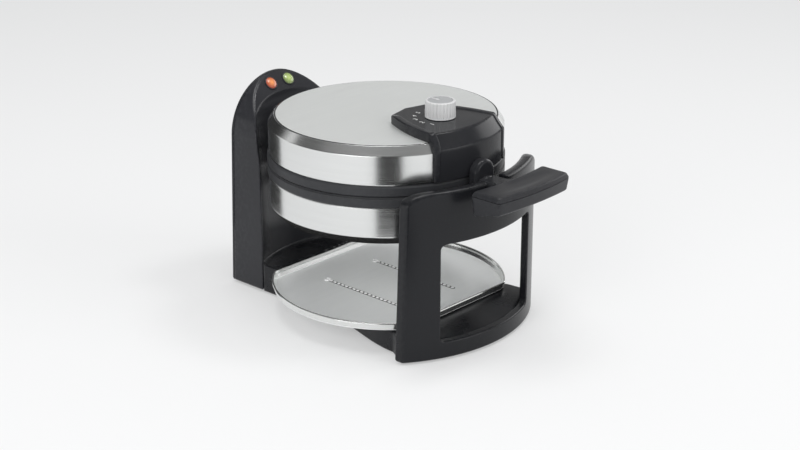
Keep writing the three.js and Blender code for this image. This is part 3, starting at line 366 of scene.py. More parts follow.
@dataclass
class Slab:
    """A body between two faces over a closed outline, with rounded edges.

    The outline is one ring of points, or a list of sides that meet in corners.

    Every ring of points is the outline moved in by an inset; past the last inset the rings shrink
    evenly to a centre. A ring's depth is given as a share of the way from the low face to the high
    face, plus an offset, so the faces may be any functions of the outline's plane. A support adds a
    ring on the wall that far from each edge, so that wear on the edge stays there.
    """

    outline: Array | list[Array]
    low_fillet: float
    high_fillet: float
    centre: tuple[float, float]
    fill: int
    steps: int
    draft: float = 0.0
    low_draft: float = 0.0
    open_low: bool = False
    soften: int = 3
    support: float = 0.0

    def rings(self) -> tuple[Array, Array, Array]:
        """Ring places, shares and offsets, from the low centre round the wall to the high centre."""
        quarter = np.linspace(0, math.pi / 2, self.steps + 1)
        low_in = self.low_fillet * (1 - np.sin(quarter)) + self.low_draft
        low_off = self.low_fillet * (1 - np.cos(quarter))
        high_in = self.high_fillet * (1 - np.cos(quarter)) + self.draft
        high_off = -self.high_fillet * (1 - np.sin(quarter))
        if self.open_low:
            low_in, low_off = np.zeros(1), np.zeros(1)
        if self.support:
            low_in, low_off = np.append(low_in, low_in[-1]), np.append(low_off, low_off[-1] + self.support)
            high_in = np.insert(high_in, 0, high_in[0])
            high_off = np.insert(high_off, 0, high_off[0] - self.support)
        insets, offsets = np.concatenate([low_in, high_in]), np.concatenate([low_off, high_off])
        if isinstance(self.outline, list):
            places = np.stack([mitred(self.outline, inset, self.soften) for inset in insets])
        else:
            order = np.argsort(insets)
            places = insets_of(anticlockwise(self.outline), insets[order])[np.argsort(order)]
        below = 0 if self.open_low else self.fill
        under, over = (to_centre(place, self.centre, self.fill) for place in (places[0], places[-1]))
        shares = np.repeat([0.0, 1.0], [below + len(low_in), len(high_in) + self.fill])
        return np.concatenate([under[::-1][:below], places, over]), shares, np.pad(offsets, (below, self.fill))

    def depths(self, low: Face, high: Face) -> tuple[Array, Array, Array]:
        """The rings' two plane coordinates and their depth: low + share * (high - low) + offset.

        Where the body is thin, an offset is held to 0.45 of its thickness.
        """
        places, share, offset = self.rings()
        a, b = places[..., 0], places[..., 1]
        base, top = (face(a, b) if callable(face) else np.full_like(a, float(face)) for face in (low, high))
        thick = top - base
        room = 0.45 * np.abs(thick)
        return a, b, base + share[:, None] * thick + np.clip(offset[:, None], -room, room) * np.sign(thick)

    def upright(self, low: Face, high: Face) -> Surface:
        """The body with its outline in the XY plane and its depth along Z."""
        return Surface(joined(*self.depths(low, high)))

    def facing(self, low: Face, high: Face) -> Surface:
        """The body with its outline in the XZ plane and its depth along Y."""
        a, b, depth = self.depths(low, high)
        return Surface(joined(a, depth, b))


def box(x: tuple[float, float], y: tuple[float, float], z: tuple[float, float], corner: float = 1.0,
        fillet: float = 0.5) -> Surface:
    """A block with rounded upright corners and broken edges."""
    path = filleted(rectangle(x[0], y[0], x[1], y[1]), corner, 4)
    return Slab(path, fillet, fillet, ((x[0] + x[1]) / 2, (y[0] + y[1]) / 2), fill=1, steps=3).upright(*z)


def lifted(*surfaces: Surface) -> list[Surface]:
    """Surfaces drawn from the seam, raised to the head's turning axis."""
    return [surface.moved(0, 0, AXIS_HEIGHT) for surface in surfaces]


def lowered(*surfaces: Surface) -> list[Surface]:
    """Surfaces drawn from the seam, turned half round the turning axis to the lower half."""
    return lifted(*(surface.mapped(lambda p: p * np.array([-1, 1, -1])) for surface in surfaces))


# ---------------------------------------------------------------------------------------------------
# Finishes
# ---------------------------------------------------------------------------------------------------

class Brushing(Enum):
    """The way a metal's brushing runs."""

    ROUND = "round"
    LENGTHWISE = "lengthwise"


class Nodes:
    """A short way to lay out shader nodes in one tree."""

    def __init__(self, tree: bpy.types.NodeTree) -> None:
        """Keeps the tree that the nodes go into."""
        self.tree = tree

    def feed(self, node: bpy.types.Node, inputs: dict) -> None:
        """Links a node's inputs to sockets or sets their values; a colour of three numbers is opaque."""
        for key, value in inputs.items():
            if isinstance(value, Socket):
                self.tree.links.new(value, node.inputs[key])
            else:
                node.inputs[key].default_value = (*value, 1.0) if node.inputs[key].type == "RGBA" else value

    def add(self, kind: str, inputs: dict | None = None, **settings: object) -> bpy.types.Node:
        """Adds a node of Blender's named type, with its own settings and then its inputs."""
        node = self.tree.nodes.new(kind)
        for name, value in settings.items():
            setattr(node, name, value)
        self.feed(node, inputs or {})
        return node

    def math(self, operation: str, a: Socket | float, b: Socket | float) -> Socket:
        """A Math node's result."""
        return self.add("ShaderNodeMath", {0: a, 1: b}, operation=operation).outputs[0]

    def mix(self, factor: Socket, a: Socket | Colour, b: Socket | Colour) -> Socket:
        """A colour mixed from two by a factor."""
        return self.add("ShaderNodeMix", {0: factor, 6: a, 7: b}, data_type="RGBA").outputs[2]

    def ramp(self, factor: Socket, low: float, high: float | Socket, start: float = 0.0, end: float = 1.0
             ) -> Socket:
        """A value carried from the range low..high to start..end, held at both ends."""
        return self.add("ShaderNodeMapRange", {0: factor, 1: low, 2: high, 3: start, 4: end}).outputs[0]

    def noise(self, place: Socket, scale: Socket | float, detail: float, roughness: float = 0.5) -> Socket:
        """Noise at a place."""
        inputs = {"Vector": place, "Scale": scale, "Detail": detail, "Roughness": roughness}
        return self.add("ShaderNodeTexNoise", inputs).outputs[0]

    def place(self) -> Socket:
        """The object's own coordinates."""
        return self.add("ShaderNodeTexCoord").outputs["Object"]


def emptied(owner: bpy.types.Material | bpy.types.World) -> Nodes:
    """The owner's node tree, switched on and emptied."""
    owner.use_nodes = True
    owner.node_tree.nodes.clear()
    return Nodes(owner.node_tree)


def new_group(name: str, inputs: dict[str, float], outputs: Sequence[str]
              ) -> tuple[Nodes, bpy.types.Node, bpy.types.Node]:
    """Starts a shader node group with sockets for numbers.

    Args:
        name: The group's name.
        inputs: Default value by name.
        outputs: Names of the results.

    Returns:
        The group's node helper, its input node and its output node.
    """
    tree = bpy.data.node_groups.new(name, "ShaderNodeTree")
    for label, default in inputs.items():
        tree.interface.new_socket(label, in_out="INPUT", socket_type="NodeSocketFloat").default_value = default
    for label in outputs:
        tree.interface.new_socket(label, in_out="OUTPUT", socket_type="NodeSocketFloat")
    nodes = Nodes(tree)
    return nodes, nodes.add("NodeGroupInput"), nodes.add("NodeGroupOutput")


class Effects:
    """Shader groups that several finishes share."""

    def __init__(self) -> None:
        """Makes the groups."""
        self.brushing = {way: self._brushing(way) for way in Brushing}
        self.moulding, self.edges, self.dust = self._moulding(), self._edges(), self._dust()

    def _brushing(self, way: Brushing) -> bpy.types.NodeTree:
        """Fine scratches along one direction: noise on coordinates stretched many times across them."""
        n, given, out = new_group(f"brushing_{way.value}", {"Density": 900.0, "Stretch": 40.0},
                                  ["Scratches", "Streaks"])
        along, across, third = n.add("ShaderNodeSeparateXYZ", {0: n.place()}).outputs
        density = given.outputs["Density"]
        if way is Brushing.ROUND:
            forward = n.math("MULTIPLY", n.math("SUBTRACT", across, ROW_SHIFT * MM), -1.0)
            angle = n.math("ARCTAN2", along, forward)
            along, across, third = n.math("MULTIPLY", angle, HEAD_RADIUS * MM), third, 0.0
        short = n.math("DIVIDE", density, given.outputs["Stretch"])
        stretched = n.add("ShaderNodeCombineXYZ", {
            0: n.math("MULTIPLY", along, short), 1: n.math("MULTIPLY", across, density),
            2: n.math("MULTIPLY", third, density)}).outputs[0]
        n.feed(out, {"Scratches": n.noise(stretched, 1.0, 4.0, 0.65), "Streaks": n.noise(stretched, 0.13, 2.0)})
        return n.tree

    def _moulding(self) -> bpy.types.NodeTree:
        """Spark-eroded moulding grain: fine cells with a slow unevenness under them."""
        n, given, out = new_group("moulding_grain", {"Scale": 1400.0}, ["Grain", "Cloud"])
        place = n.place()
        n.feed(out, {"Grain": n.noise(place, given.outputs["Scale"], 3.0, 0.6),
                     "Cloud": n.noise(place, 14.0, 3.0)})
        return n.tree

    def _edges(self) -> bpy.types.NodeTree:
        """Handling wear on edges: where the surface bends outwards, broken up by noise."""
        n, given, out = new_group("edge_wear", {"Width": 0.54, "Break up": 260.0}, ["Wear"])
        bend = n.add("ShaderNodeNewGeometry").outputs["Pointiness"]
        edge = n.ramp(bend, 0.5, given.outputs["Width"])
        broken = n.ramp(n.noise(n.place(), given.outputs["Break up"], 4.0), 0.45, 0.62)
        n.feed(out, {"Wear": n.math("MULTIPLY", edge, broken)})
        return n.tree

    def _dust(self) -> bpy.types.NodeTree:
        """A thin film that lies on faces that look up, in soft patches."""
        n, given, out = new_group("dust_film", {"Patch size": 32.0}, ["Film"])
        normal = n.add("ShaderNodeNewGeometry").outputs["Normal"]
        facing = n.ramp(n.add("ShaderNodeSeparateXYZ", {0: normal}).outputs[2], 0.4, 1.0)
        patch = n.ramp(n.noise(n.place(), given.outputs["Patch size"], 5.0), 0.4, 0.75)
        n.feed(out, {"Film": n.math("MULTIPLY", facing, patch)})
        return n.tree


def new_material(name: str) -> tuple[bpy.types.Material, Nodes, bpy.types.Node]:
    """An empty material with one Principled shader: the material, its node helper and the shader."""
    material = bpy.data.materials.new(name)
    n = emptied(material)
    shader = n.add("ShaderNodeBsdfPrincipled")
    n.add("ShaderNodeOutputMaterial", {"Surface": shader.outputs[0]})
    return material, n, shader


def scaled(colour: Colour, factor: float, lift: float = 0.0) -> Colour:
    """A colour times a factor plus a lift, no channel above 1."""
    return tuple(min(1.0, channel * factor + lift) for channel in colour)


@dataclass(frozen=True)
class BrushedSteel:
    """Sheet steel with a directional grain."""

    name: str
    slot: str
    colour: Colour
    roughness: float
    way: Brushing
    density: float
    stretch: float
    relief: float = 0.00002
    metallic: float = 1.0
    contrast: float = 0.08

    def made(self, effects: Effects) -> bpy.types.Material:
        """Grain shades the colour a little, sets the roughness and gives a faint relief."""
        material, n, shader = new_material(self.name)
        grain = n.add("ShaderNodeGroup", {"Density": self.density, "Stretch": self.stretch},
                      node_tree=effects.brushing[self.way])
        scratch, streak = grain.outputs["Scratches"], grain.outputs["Streaks"]
        both = n.math("ADD", n.math("MULTIPLY", scratch, 0.7), n.math("MULTIPLY", streak, 0.3))
        bump = n.add("ShaderNodeBump", {"Strength": 0.35, "Distance": self.relief, "Height": scratch})
        n.feed(shader, {
            "Base Color": n.mix(n.ramp(both, 0.3, 0.7), scaled(self.colour, 1 - self.contrast), self.colour),
            "Roughness": n.ramp(scratch, 0.3, 0.7, self.roughness * 0.8, self.roughness * 1.25),
            "Metallic": self.metallic,
            "Normal": bump.outputs[0]})
        return material


@dataclass(frozen=True)
class MouldedPlastic:
    """Moulded plastic with a fine grain, wear on its edges and a film of dust."""

    name: str
    slot: str
    colour: Colour
    roughness: float
    grain: float = 1400.0
    relief: float = 0.00003
    wear: float = 0.25
    dust: float = 0.06
    specular: float = 0.2

    def made(self, effects: Effects) -> bpy.types.Material:
        """Base colour, lighter on worn edges and under dust; the grain is in roughness and relief."""
        material, n, shader = new_material(self.name)
        grain = n.add("ShaderNodeGroup", {"Scale": self.grain}, node_tree=effects.moulding).outputs
        wear = n.add("ShaderNodeGroup", node_tree=effects.edges).outputs["Wear"]
        film = n.add("ShaderNodeGroup", node_tree=effects.dust).outputs["Film"]
        tint = n.mix(n.ramp(grain["Cloud"], 0.3, 0.7), scaled(self.colour, 0.88), self.colour)
        worn = n.mix(n.math("MULTIPLY", wear, self.wear), tint, scaled(self.colour, 1.5, 0.03))
        rough = n.ramp(grain["Grain"], 0.3, 0.7, self.roughness * 0.94, self.roughness * 1.06)
        bump = n.add("ShaderNodeBump", {"Strength": 0.6, "Distance": self.relief, "Height": grain["Grain"]})
        n.feed(shader, {
            "Base Color": n.mix(n.math("MULTIPLY", film, self.dust), worn, (0.55, 0.53, 0.5)),
            "Roughness": n.math("ADD", rough, n.math("MULTIPLY", film, 0.08)),
            "Specular IOR Level": self.specular,
            "Normal": bump.outputs[0]})
        return material


@dataclass(frozen=True)
class TintedLens:
    """A domed indicator lens of tinted plastic, lighter in its middle, with faint inner facets; the lighter
    middle and a faint glow from the lens itself are painted light, as though its lamp were lit.
    """

    name: str
    slot: str
    rim: Colour
    middle: Colour
    centre: tuple[float, float, float]
    radius: float = 6.1

    def made(self, effects: Effects) -> bpy.types.Material:
        """The colour runs from the rim's to the middle's with distance from the lens's centre, and the lens
        glows with that colour: painted light.
        """
        material, n, shader = new_material(self.name)
        place = n.place()
        away = n.add("ShaderNodeVectorMath", {0: place, 1: self.centre}, operation="DISTANCE").outputs["Value"]
        spread = n.ramp(away, self.radius * 0.15 * MM, self.radius * MM)
        facets = n.add("ShaderNodeTexVoronoi", {"Vector": place, "Scale": 900.0}).outputs[0]
        glow = n.math("SUBTRACT", 1.0, n.math("ADD", spread, n.math("MULTIPLY", facets, 0.12)))
        colour = n.mix(glow, self.rim, self.middle)
        bump = n.add("ShaderNodeBump", {"Strength": 0.15, "Distance": 0.0001, "Height": facets})
        # The lens glows from itself, lighter in its middle: painted light.
        n.feed(shader, {"Base Color": colour, "Emission Color": colour, "Emission Strength": 0.18,
                        "Roughness": 0.22, "Coat Weight": 0.4, "Normal": bump.outputs[0]})
        return material


Finish = BrushedSteel | MouldedPlastic | TintedLens
ROUND, LENGTHWISE = Brushing.ROUND, Brushing.LENGTHWISE

STEEL = BrushedSteel("stainless_band", "stainless", (0.78, 0.79, 0.785), 0.2, ROUND, 1500.0, 90.0)
DISC = BrushedSteel("stainless_disc", "stainless", (0.81, 0.825, 0.81), 0.42, LENGTHWISE, 1500.0, 60.0,
                    metallic=0.63, contrast=0.05)
TRAY = BrushedSteel("tray_sheet", "tray_steel", (0.89, 0.9, 0.895), 0.5, LENGTHWISE, 1300.0, 50.0,
                    metallic=0.24, contrast=0.05)
RIM = BrushedSteel("tray_rim", "tray_steel", (0.84, 0.85, 0.84), 0.15, LENGTHWISE, 1300.0, 50.0,
                   metallic=0.95, contrast=0.04)
# The tray's steel, lighter and less metallic for the pressed ridges: painted highlight.
LIT_BEAD = BrushedSteel("tray_bead_painted_highlight", "tray_steel", (0.93, 0.93, 0.93), 0.3, LENGTHWISE, 1300.0, 10.0,
                    metallic=0.15, contrast=0.02)
ZINC = BrushedSteel("zinc_plate", "zinc_steel", (0.52, 0.53, 0.54), 0.34, LENGTHWISE, 1800.0, 6.0)
SHEATH = BrushedSteel("element_sheath", "element_steel", (0.2, 0.19, 0.18), 0.5, ROUND, 1500.0, 12.0)

GLOSS = MouldedPlastic("black_gloss", "black_gloss", (0.018, 0.0185, 0.021), 0.2, relief=0.000005, dust=0.03,
                       specular=0.18)
SATIN = MouldedPlastic("black_satin", "black_satin", (0.021, 0.0215, 0.0245), 0.36, relief=0.000015, dust=0.04,
                       specular=0.25)
# The gloss black again, a shade lighter for the tower: a lit copy, painted light.
LIT_GLOSS_COPY = MouldedPlastic("black_gloss_lit_copy", "black_gloss", (0.026, 0.0265, 0.03), 0.2, relief=0.000005, dust=0.03,
                      specular=0.23)
# The gloss black again, darker for the stand and the base: a shaded copy, painted shade.
SHADED_GLOSS_COPY = MouldedPlastic("black_gloss_shaded_copy", "black_gloss", (0.0105, 0.011, 0.013), 0.26, relief=0.000006, dust=0.02,
                      specular=0.25)
PHENOLIC = MouldedPlastic("ring_moulding", "phenolic", (0.036, 0.037, 0.04), 0.4)
COATING = MouldedPlastic("non_stick_coating", "non_stick", (0.018, 0.018, 0.02), 0.36, 2600.0, 0.00004,
                         0.1, 0.0)
KNOB = MouldedPlastic("knob_white", "knob_white", (0.61, 0.61, 0.61), 0.38, 1600.0, 0.00002, 0.0, 0.03)
# The knob's white, darker for the dish on its top: painted shade.
KNOB_DISH_SHADE = MouldedPlastic("knob_dish_painted_shade", "knob_white", (0.37, 0.375, 0.38), 0.5, 1600.0, 0.00002, 0.0, 0.03)
PRINT = MouldedPlastic("figure_print", "knob_white", (0.7, 0.7, 0.69), 0.5, 1600.0, 0.00001, 0.0, 0.0)
RUBBER = MouldedPlastic("foot_rubber", "rubber", (0.014, 0.014, 0.014), 0.8, 1900.0, 0.00008, 0.1, 0.05)
CERAMIC = MouldedPlastic("ceramic", "ceramic", (0.68, 0.65, 0.58), 0.6, 1200.0, 0.00005, 0.0, 0.05)
BOARD = MouldedPlastic("board_green", "board", (0.04, 0.18, 0.08), 0.5)
LAMP = MouldedPlastic("lamp_glass", "lamp", (0.85, 0.75, 0.55), 0.2, 800.0, 0.00001, 0.0, 0.0)
# A dark sheet for the slot under each row of ridges: painted shade.
SLOT_SHADE = MouldedPlastic("tray_slot_painted_shade", "tray_steel", (0.05, 0.05, 0.05), 0.5, 1600.0, 0.00001, 0.0, 0.0)


# ---------------------------------------------------------------------------------------------------
# Pieces
# ---------------------------------------------------------------------------------------------------

def placed(name: str, data: bpy.types.ID) -> bpy.types.Object:
    """A new object in the scene."""
    obj = bpy.data.objects.new(name, data)
    bpy.context.scene.collection.objects.link(obj)
    return obj


def evaluated(obj: bpy.types.Object) -> bpy.types.Mesh:
    """An object's mesh with its modifiers applied."""
    graph = bpy.context.evaluated_depsgraph_get()
    graph.update()
    return bpy.data.meshes.new_from_object(obj.evaluated_get(graph))


def new_mesh(name: str, surfaces: Sequence[Surface]) -> bpy.types.Mesh:
    """One mesh in the row frame's metres, its doubles merged and its faces turned outwards."""
    points = [surface.points.reshape(-1, 3) for surface in surfaces]
    starts = np.cumsum([0] + [len(p) for p in points])
    faces = [surface.quads() + start for surface, start in zip(surfaces, starts)]
    mesh = bpy.data.meshes.new(name)
    mesh.from_pydata(in_row(np.concatenate(points)).tolist(), [], np.concatenate(faces).tolist())
    cleaned = bmesh.new()
    cleaned.from_mesh(mesh)
    bmesh.ops.remove_doubles(cleaned, verts=cleaned.verts, dist=WELD)
    bmesh.ops.dissolve_degenerate(cleaned, edges=cleaned.edges, dist=WELD)
    bmesh.ops.recalc_face_normals(cleaned, faces=cleaned.faces)
    cleaned.to_mesh(mesh)
    cleaned.free()
    return mesh


def carve(obj: bpy.types.Object, cut: Surface) -> None:
    """Takes a closed surface's room out of an object; its mesh is exchanged for the carved one."""
    cutter = placed("cutter", new_mesh("cutter", [cut]))
    change = obj.modifiers.new("cut", "BOOLEAN")
    change.operation = "DIFFERENCE"
    change.solver = "EXACT"
    change.object = cutter
    carved = evaluated(obj)
    obj.modifiers.remove(change)
    obj.data = carved
    bpy.data.objects.remove(cutter)


@dataclass
class Workshop:
    """Turns surfaces into finished pieces and hands them to the frame."""

    effects: Effects
    materials: dict[str, bpy.types.Material] = field(default_factory=dict)

    def finish(self, finish: Finish) -> bpy.types.Material:
        """The finish's material, made once."""
        if finish.name not in self.materials:
            self.materials[finish.name] = finish.made(self.effects)
        return self.materials[finish.name]

    def piece(self, name: str, surfaces: Surface | list[Surface], finish: Finish, body: str, *nodes: str,
              slot: str = "", wall: float = 0.0, sharp: float = 38.0, cuts: Sequence[Surface] = ()
              ) -> bpy.types.Object:
        """Makes one piece from its surfaces.

        Doubles are merged, so poles and seams close, the faces are turned outwards, and a sheet is
        given its wall inwards. Normals are weighted by area, so a flat face is shaded flat up to its
        rounded edge.

        Args:
            name: The piece's name.
            surfaces: Its surfaces, in millimetres in the drawing frame.
            finish: The finish that it wears.
            body: The frame's body that carries it.
            nodes: The frame's nodes that it stands for.
            slot: The record's material slot, where it isn't the finish's own; not used.
            wall: Thickness in millimetres for a sheet, or zero for closed surfaces.
            sharp: Edges steeper than this angle in degrees stay sharp.
            cuts: Closed surfaces whose room is taken out of the piece.

        Returns:
            The object, riding on its body.
        """
        obj = placed(name, new_mesh(name, [surfaces] if isinstance(surfaces, Surface) else surfaces))
        for cut in cuts:
            carve(obj, cut)
        mesh = obj.data
        mesh.materials.append(self.finish(finish))
        mesh.polygons.foreach_set("use_smooth", np.ones(len(mesh.polygons), bool))
        mesh.set_sharp_from_angle(angle=math.radians(sharp))
        if wall:
            thick = obj.modifiers.new("wall", "SOLIDIFY")
            thick.thickness = wall * MM
            thick.offset = -1.0
            thick.thickness_clamp = 1.0
        flats = obj.modifiers.new("flats", "WEIGHTED_NORMAL")
        flats.weight = 80
        flats.keep_sharp = True
        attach(obj, body)
        if nodes:
            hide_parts(*nodes)
        LOG.info("%s: %d points, %d faces, on %s", name, len(mesh.vertices), len(mesh.polygons), body)
        return obj

    def repaint(self, obj: bpy.types.Object, choose: Callable[[Array], Array], *finishes: Finish) -> None:
        """Gives some of a piece's faces other finishes.

        Args:
            obj: The piece.
            choose: Says from the faces' centres which finish each wears; 0 is the one it has.
            finishes: The others, from 1 on.
        """
        faces = obj.data.polygons
        for finish in finishes:
            obj.data.materials.append(self.finish(finish))
        centre = np.empty(len(faces) * 3)
        faces.foreach_get("center", centre)
        chosen = choose(centre.reshape(-1, 3) / MM - SHIFT)
        faces.foreach_set("material_index", chosen.astype(np.int32))

    def dress(self, finish: Finish, *nodes: str) -> None:
        """Gives frame nodes that keep their own shape the finish's material."""
        for node in nodes:
            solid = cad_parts[node].data
            solid.materials.clear()
            solid.materials.append(self.finish(finish))
            LOG.info("%s: the frame's own solid, dressed", node)


@dataclass
class Part:
    """A group of pieces and the shop that makes them."""

    shop: Workshop

    def build(self) -> None:
        """Makes the group's pieces."""
        raise NotImplementedError


# ---------------------------------------------------------------------------------------------------
# The head
# ---------------------------------------------------------------------------------------------------

@dataclass
class HeadHalf:
    """What the lid and the lower half have in common, drawn from the seam upwards."""

    band_bottom: float = 10.6
    band_top: float = 38.5
    top: float = 46.8
    disc_radius: float = 106.2
    wall: float = 1.2
    groove: float = 1.2
    groove_depth: float = 0.9
    ring_radius: float = 113.2
    ring_inner: float = 100.3
    ring_height: float = 10.3
    plate_radius: float = 100.0
    waffle_radius: float = 89.0
    waffle_floor: float = 13.5
    plate_face: float = 0.8
    plate_back: float = 17.5
    peg_pitch: float = 22.0
    peg_base: float = 7.5
    peg_tip: float = 6.0
    peg_height: float = 9.5
    rib_half: float = 1.7
    tube: float = 3.0
    tube_ring: float = 62.0
    reflector_radius: float = 110.2

    def shell(self) -> Surface:
        """Band, bevel and disc turned from one section, with a fine groove pressed round the disc."""
        r, d, g, deep, b = (HEAD_RADIUS, self.disc_radius, self.groove, self.top - self.groove_depth,
                            self.band_bottom)
        section = [
            [0, self.top], [d - 0.5 - g, self.top], [d - 0.4 - g, deep], [d - 0.6, deep],
            [d - 0.5, self.top - 0.3], [d, self.top - 0.5], [r, self.band_top], [r, b + 1.0], [r - 0.35, b],
            [r - self.wall, b], [r - self.wall, self.band_top - 1.0], [d - 0.8, deep - self.wall],
            [0, deep - self.wall]]
        return lathed(section, [0, 0.25, 0.1, 0.1, 0.15, 0.4, 2.2, 0.4, 0.2, 0.2, 1.0, 0.6, 0], 6, 288)

    def ring(self) -> Surface:
        """Heat-proof ring: a band with a shallow step near the seam and one near the shell."""
        r, i, h = self.ring_radius, self.ring_inner, self.ring_height
        section = [[i, 0.2], [r - 1.6, 0.2], [r - 0.9, 1.3], [r, 1.6], [r, h - 1.5], [r - 1.0, h], [i, h]]
        return lathed(section, [0.2, 0.3, 0.3, 0.6, 0.9, 0.5, 0.2], 4, 288, closed=True)

    def pegs(self) -> list[Surface]:
        """Square pegs between the cross ribs: rounded squares that taper to their tips.

        Each ring of a peg is a squircle |x|^8 + |y|^8 = s^8 whose half side s falls from base to tip.
        """
        h, b, t, floor = self.peg_height, self.peg_base, self.peg_tip, self.waffle_floor
        square = circle(around(32))
        square /= (np.abs(square) ** 8).sum(1, keepdims=True) ** (1 / 8)
        rise = np.array([-0.6, 0.0, 0.6, h - 1.0, h - 0.4, h, h, -0.6])
        half = np.array([b + 0.9, b + 0.5, b, t + 0.15, t - 0.1, t - 0.7, 0.0, 0.0])
        ring = square * half[:, None, None]
        peg = Surface(joined(*np.moveaxis(ring, -1, 0), (floor - rise)[:, None]), True)
        places = (np.arange(-3, 3) + 0.5) * self.peg_pitch
        return [peg.moved(x, y, 0) for x in places for y in places
                if math.hypot(x, y) + b * math.sqrt(2) <= self.waffle_radius - 5.0]

    def ribs(self) -> list[Surface]:
        """The cross that parts the waffle in four: two bars with drafted, rounded flanks."""
        half, reach = self.rib_half, self.waffle_radius - 2.4
        foot, tip = self.waffle_floor + 0.4, self.plate_face + 0.5
        section = filleted([[-half - 0.9, foot], [-half, tip], [half, tip], [half + 0.9, foot]],
                           [0, 0.7, 0.7, 0], 4)
        ends = np.stack([np.insert(section, 1, y, axis=1) for y in (-reach, reach)])
        middle = ends.mean(1, keepdims=True).repeat(len(section), 1)
        rib = Surface(np.concatenate([middle[:1], ends, middle[1:]]))
        return [rib, rib.mapped(lambda p: p[..., [1, 0, 2]])]

    def plate(self) -> list[Surface]:
        """Cast plate: a dish with a level rim, a drafted wall and a thick floor, with pegs and ribs."""
        w, p, f, floor = self.waffle_radius, self.plate_radius, self.plate_face, self.waffle_floor
        section = [
            [0, floor], [w - 3.0, floor], [w, f], [w + 3, f], [w + 3.6, f + 0.5], [w + 5.0, f + 0.5],
            [w + 5.6, f], [p, f], [p, f + 3.7], [p - 4.5, f + 3.7], [p - 9.0, self.plate_back],
            [0, self.plate_back]]
        dish = lathed(section, [0, 2.5, 0.8, 0.3, 0.3, 0.3, 0.3, 0.4, 0.4, 1.0, 1.0, 0], 5, 192)
        return [dish, *self.pegs(), *self.ribs()]

    def heater(self) -> Surface:
        """Ring element: a round tube that lies on the casting."""
        return turned(arc((self.tube_ring, self.plate_back + 0.1 + self.tube), self.tube, 0, 360, 20)[:-1], 96)

    def reflector(self) -> Surface:
        """Reflector: a thin disc with a pressed swage."""
        return lathed([[0, 26.1], [40, 26.1], [42, 26.5], [self.reflector_radius, 26.1],
                       [self.reflector_radius, 26.8], [42, 26.8], [40, 26.7], [0, 26.7]], 0, 1, 144)

    def finish_of(self, face: Array) -> Array:
        """The shell's finish at a face: 0 for the band, 1 for the disc, 2 for the groove round the disc,
        painted dark with the ring's moulding as the shade in it.
        """
        away, rise = np.hypot(face[:, 0], face[:, 1]), np.abs(face[:, 2] - AXIS_HEIGHT)
        edge = self.disc_radius - 0.5
        # Faces inside the groove get the dark finish: painted shade in the recess.
        seam = (np.abs(away - edge + self.groove / 2) < self.groove / 2 + 0.05) & (
            rise < self.top - 0.12) & (rise > self.top - self.groove_depth - 0.2)
        return np.where(seam, 2, away < edge - self.groove)


class Head(Part):
    """The two like halves of the head, with their plates, elements and reflectors."""

    def build(self) -> None:
        """Makes every piece of both halves."""
        half = HeadHalf()
        for body, part, place in (("lid", "lid", lifted), ("lower_half", "lower", lowered)):
            shell = self.shop.piece(f"{part}_shell_skin", place(half.shell()), STEEL, body, f"{part}_shell",
                                    sharp=30)
            # The groove round the disc wears the ring's dark moulding: painted shade.
            self.shop.repaint(shell, half.finish_of, DISC, PHENOLIC)
            for label, surfaces, finish, node in (("ring_band", [half.ring()], PHENOLIC, "ring"),
                                                  ("grid_casting", half.plate(), COATING, "grid_plate"),
                                                  ("element", [half.heater()], SHEATH, "heater"),
                                                  ("reflector_disc", [half.reflector()], ZINC, "reflector")):
                self.shop.piece(f"{part}_{label}", place(*surfaces), finish, body, f"{part}_{node}")


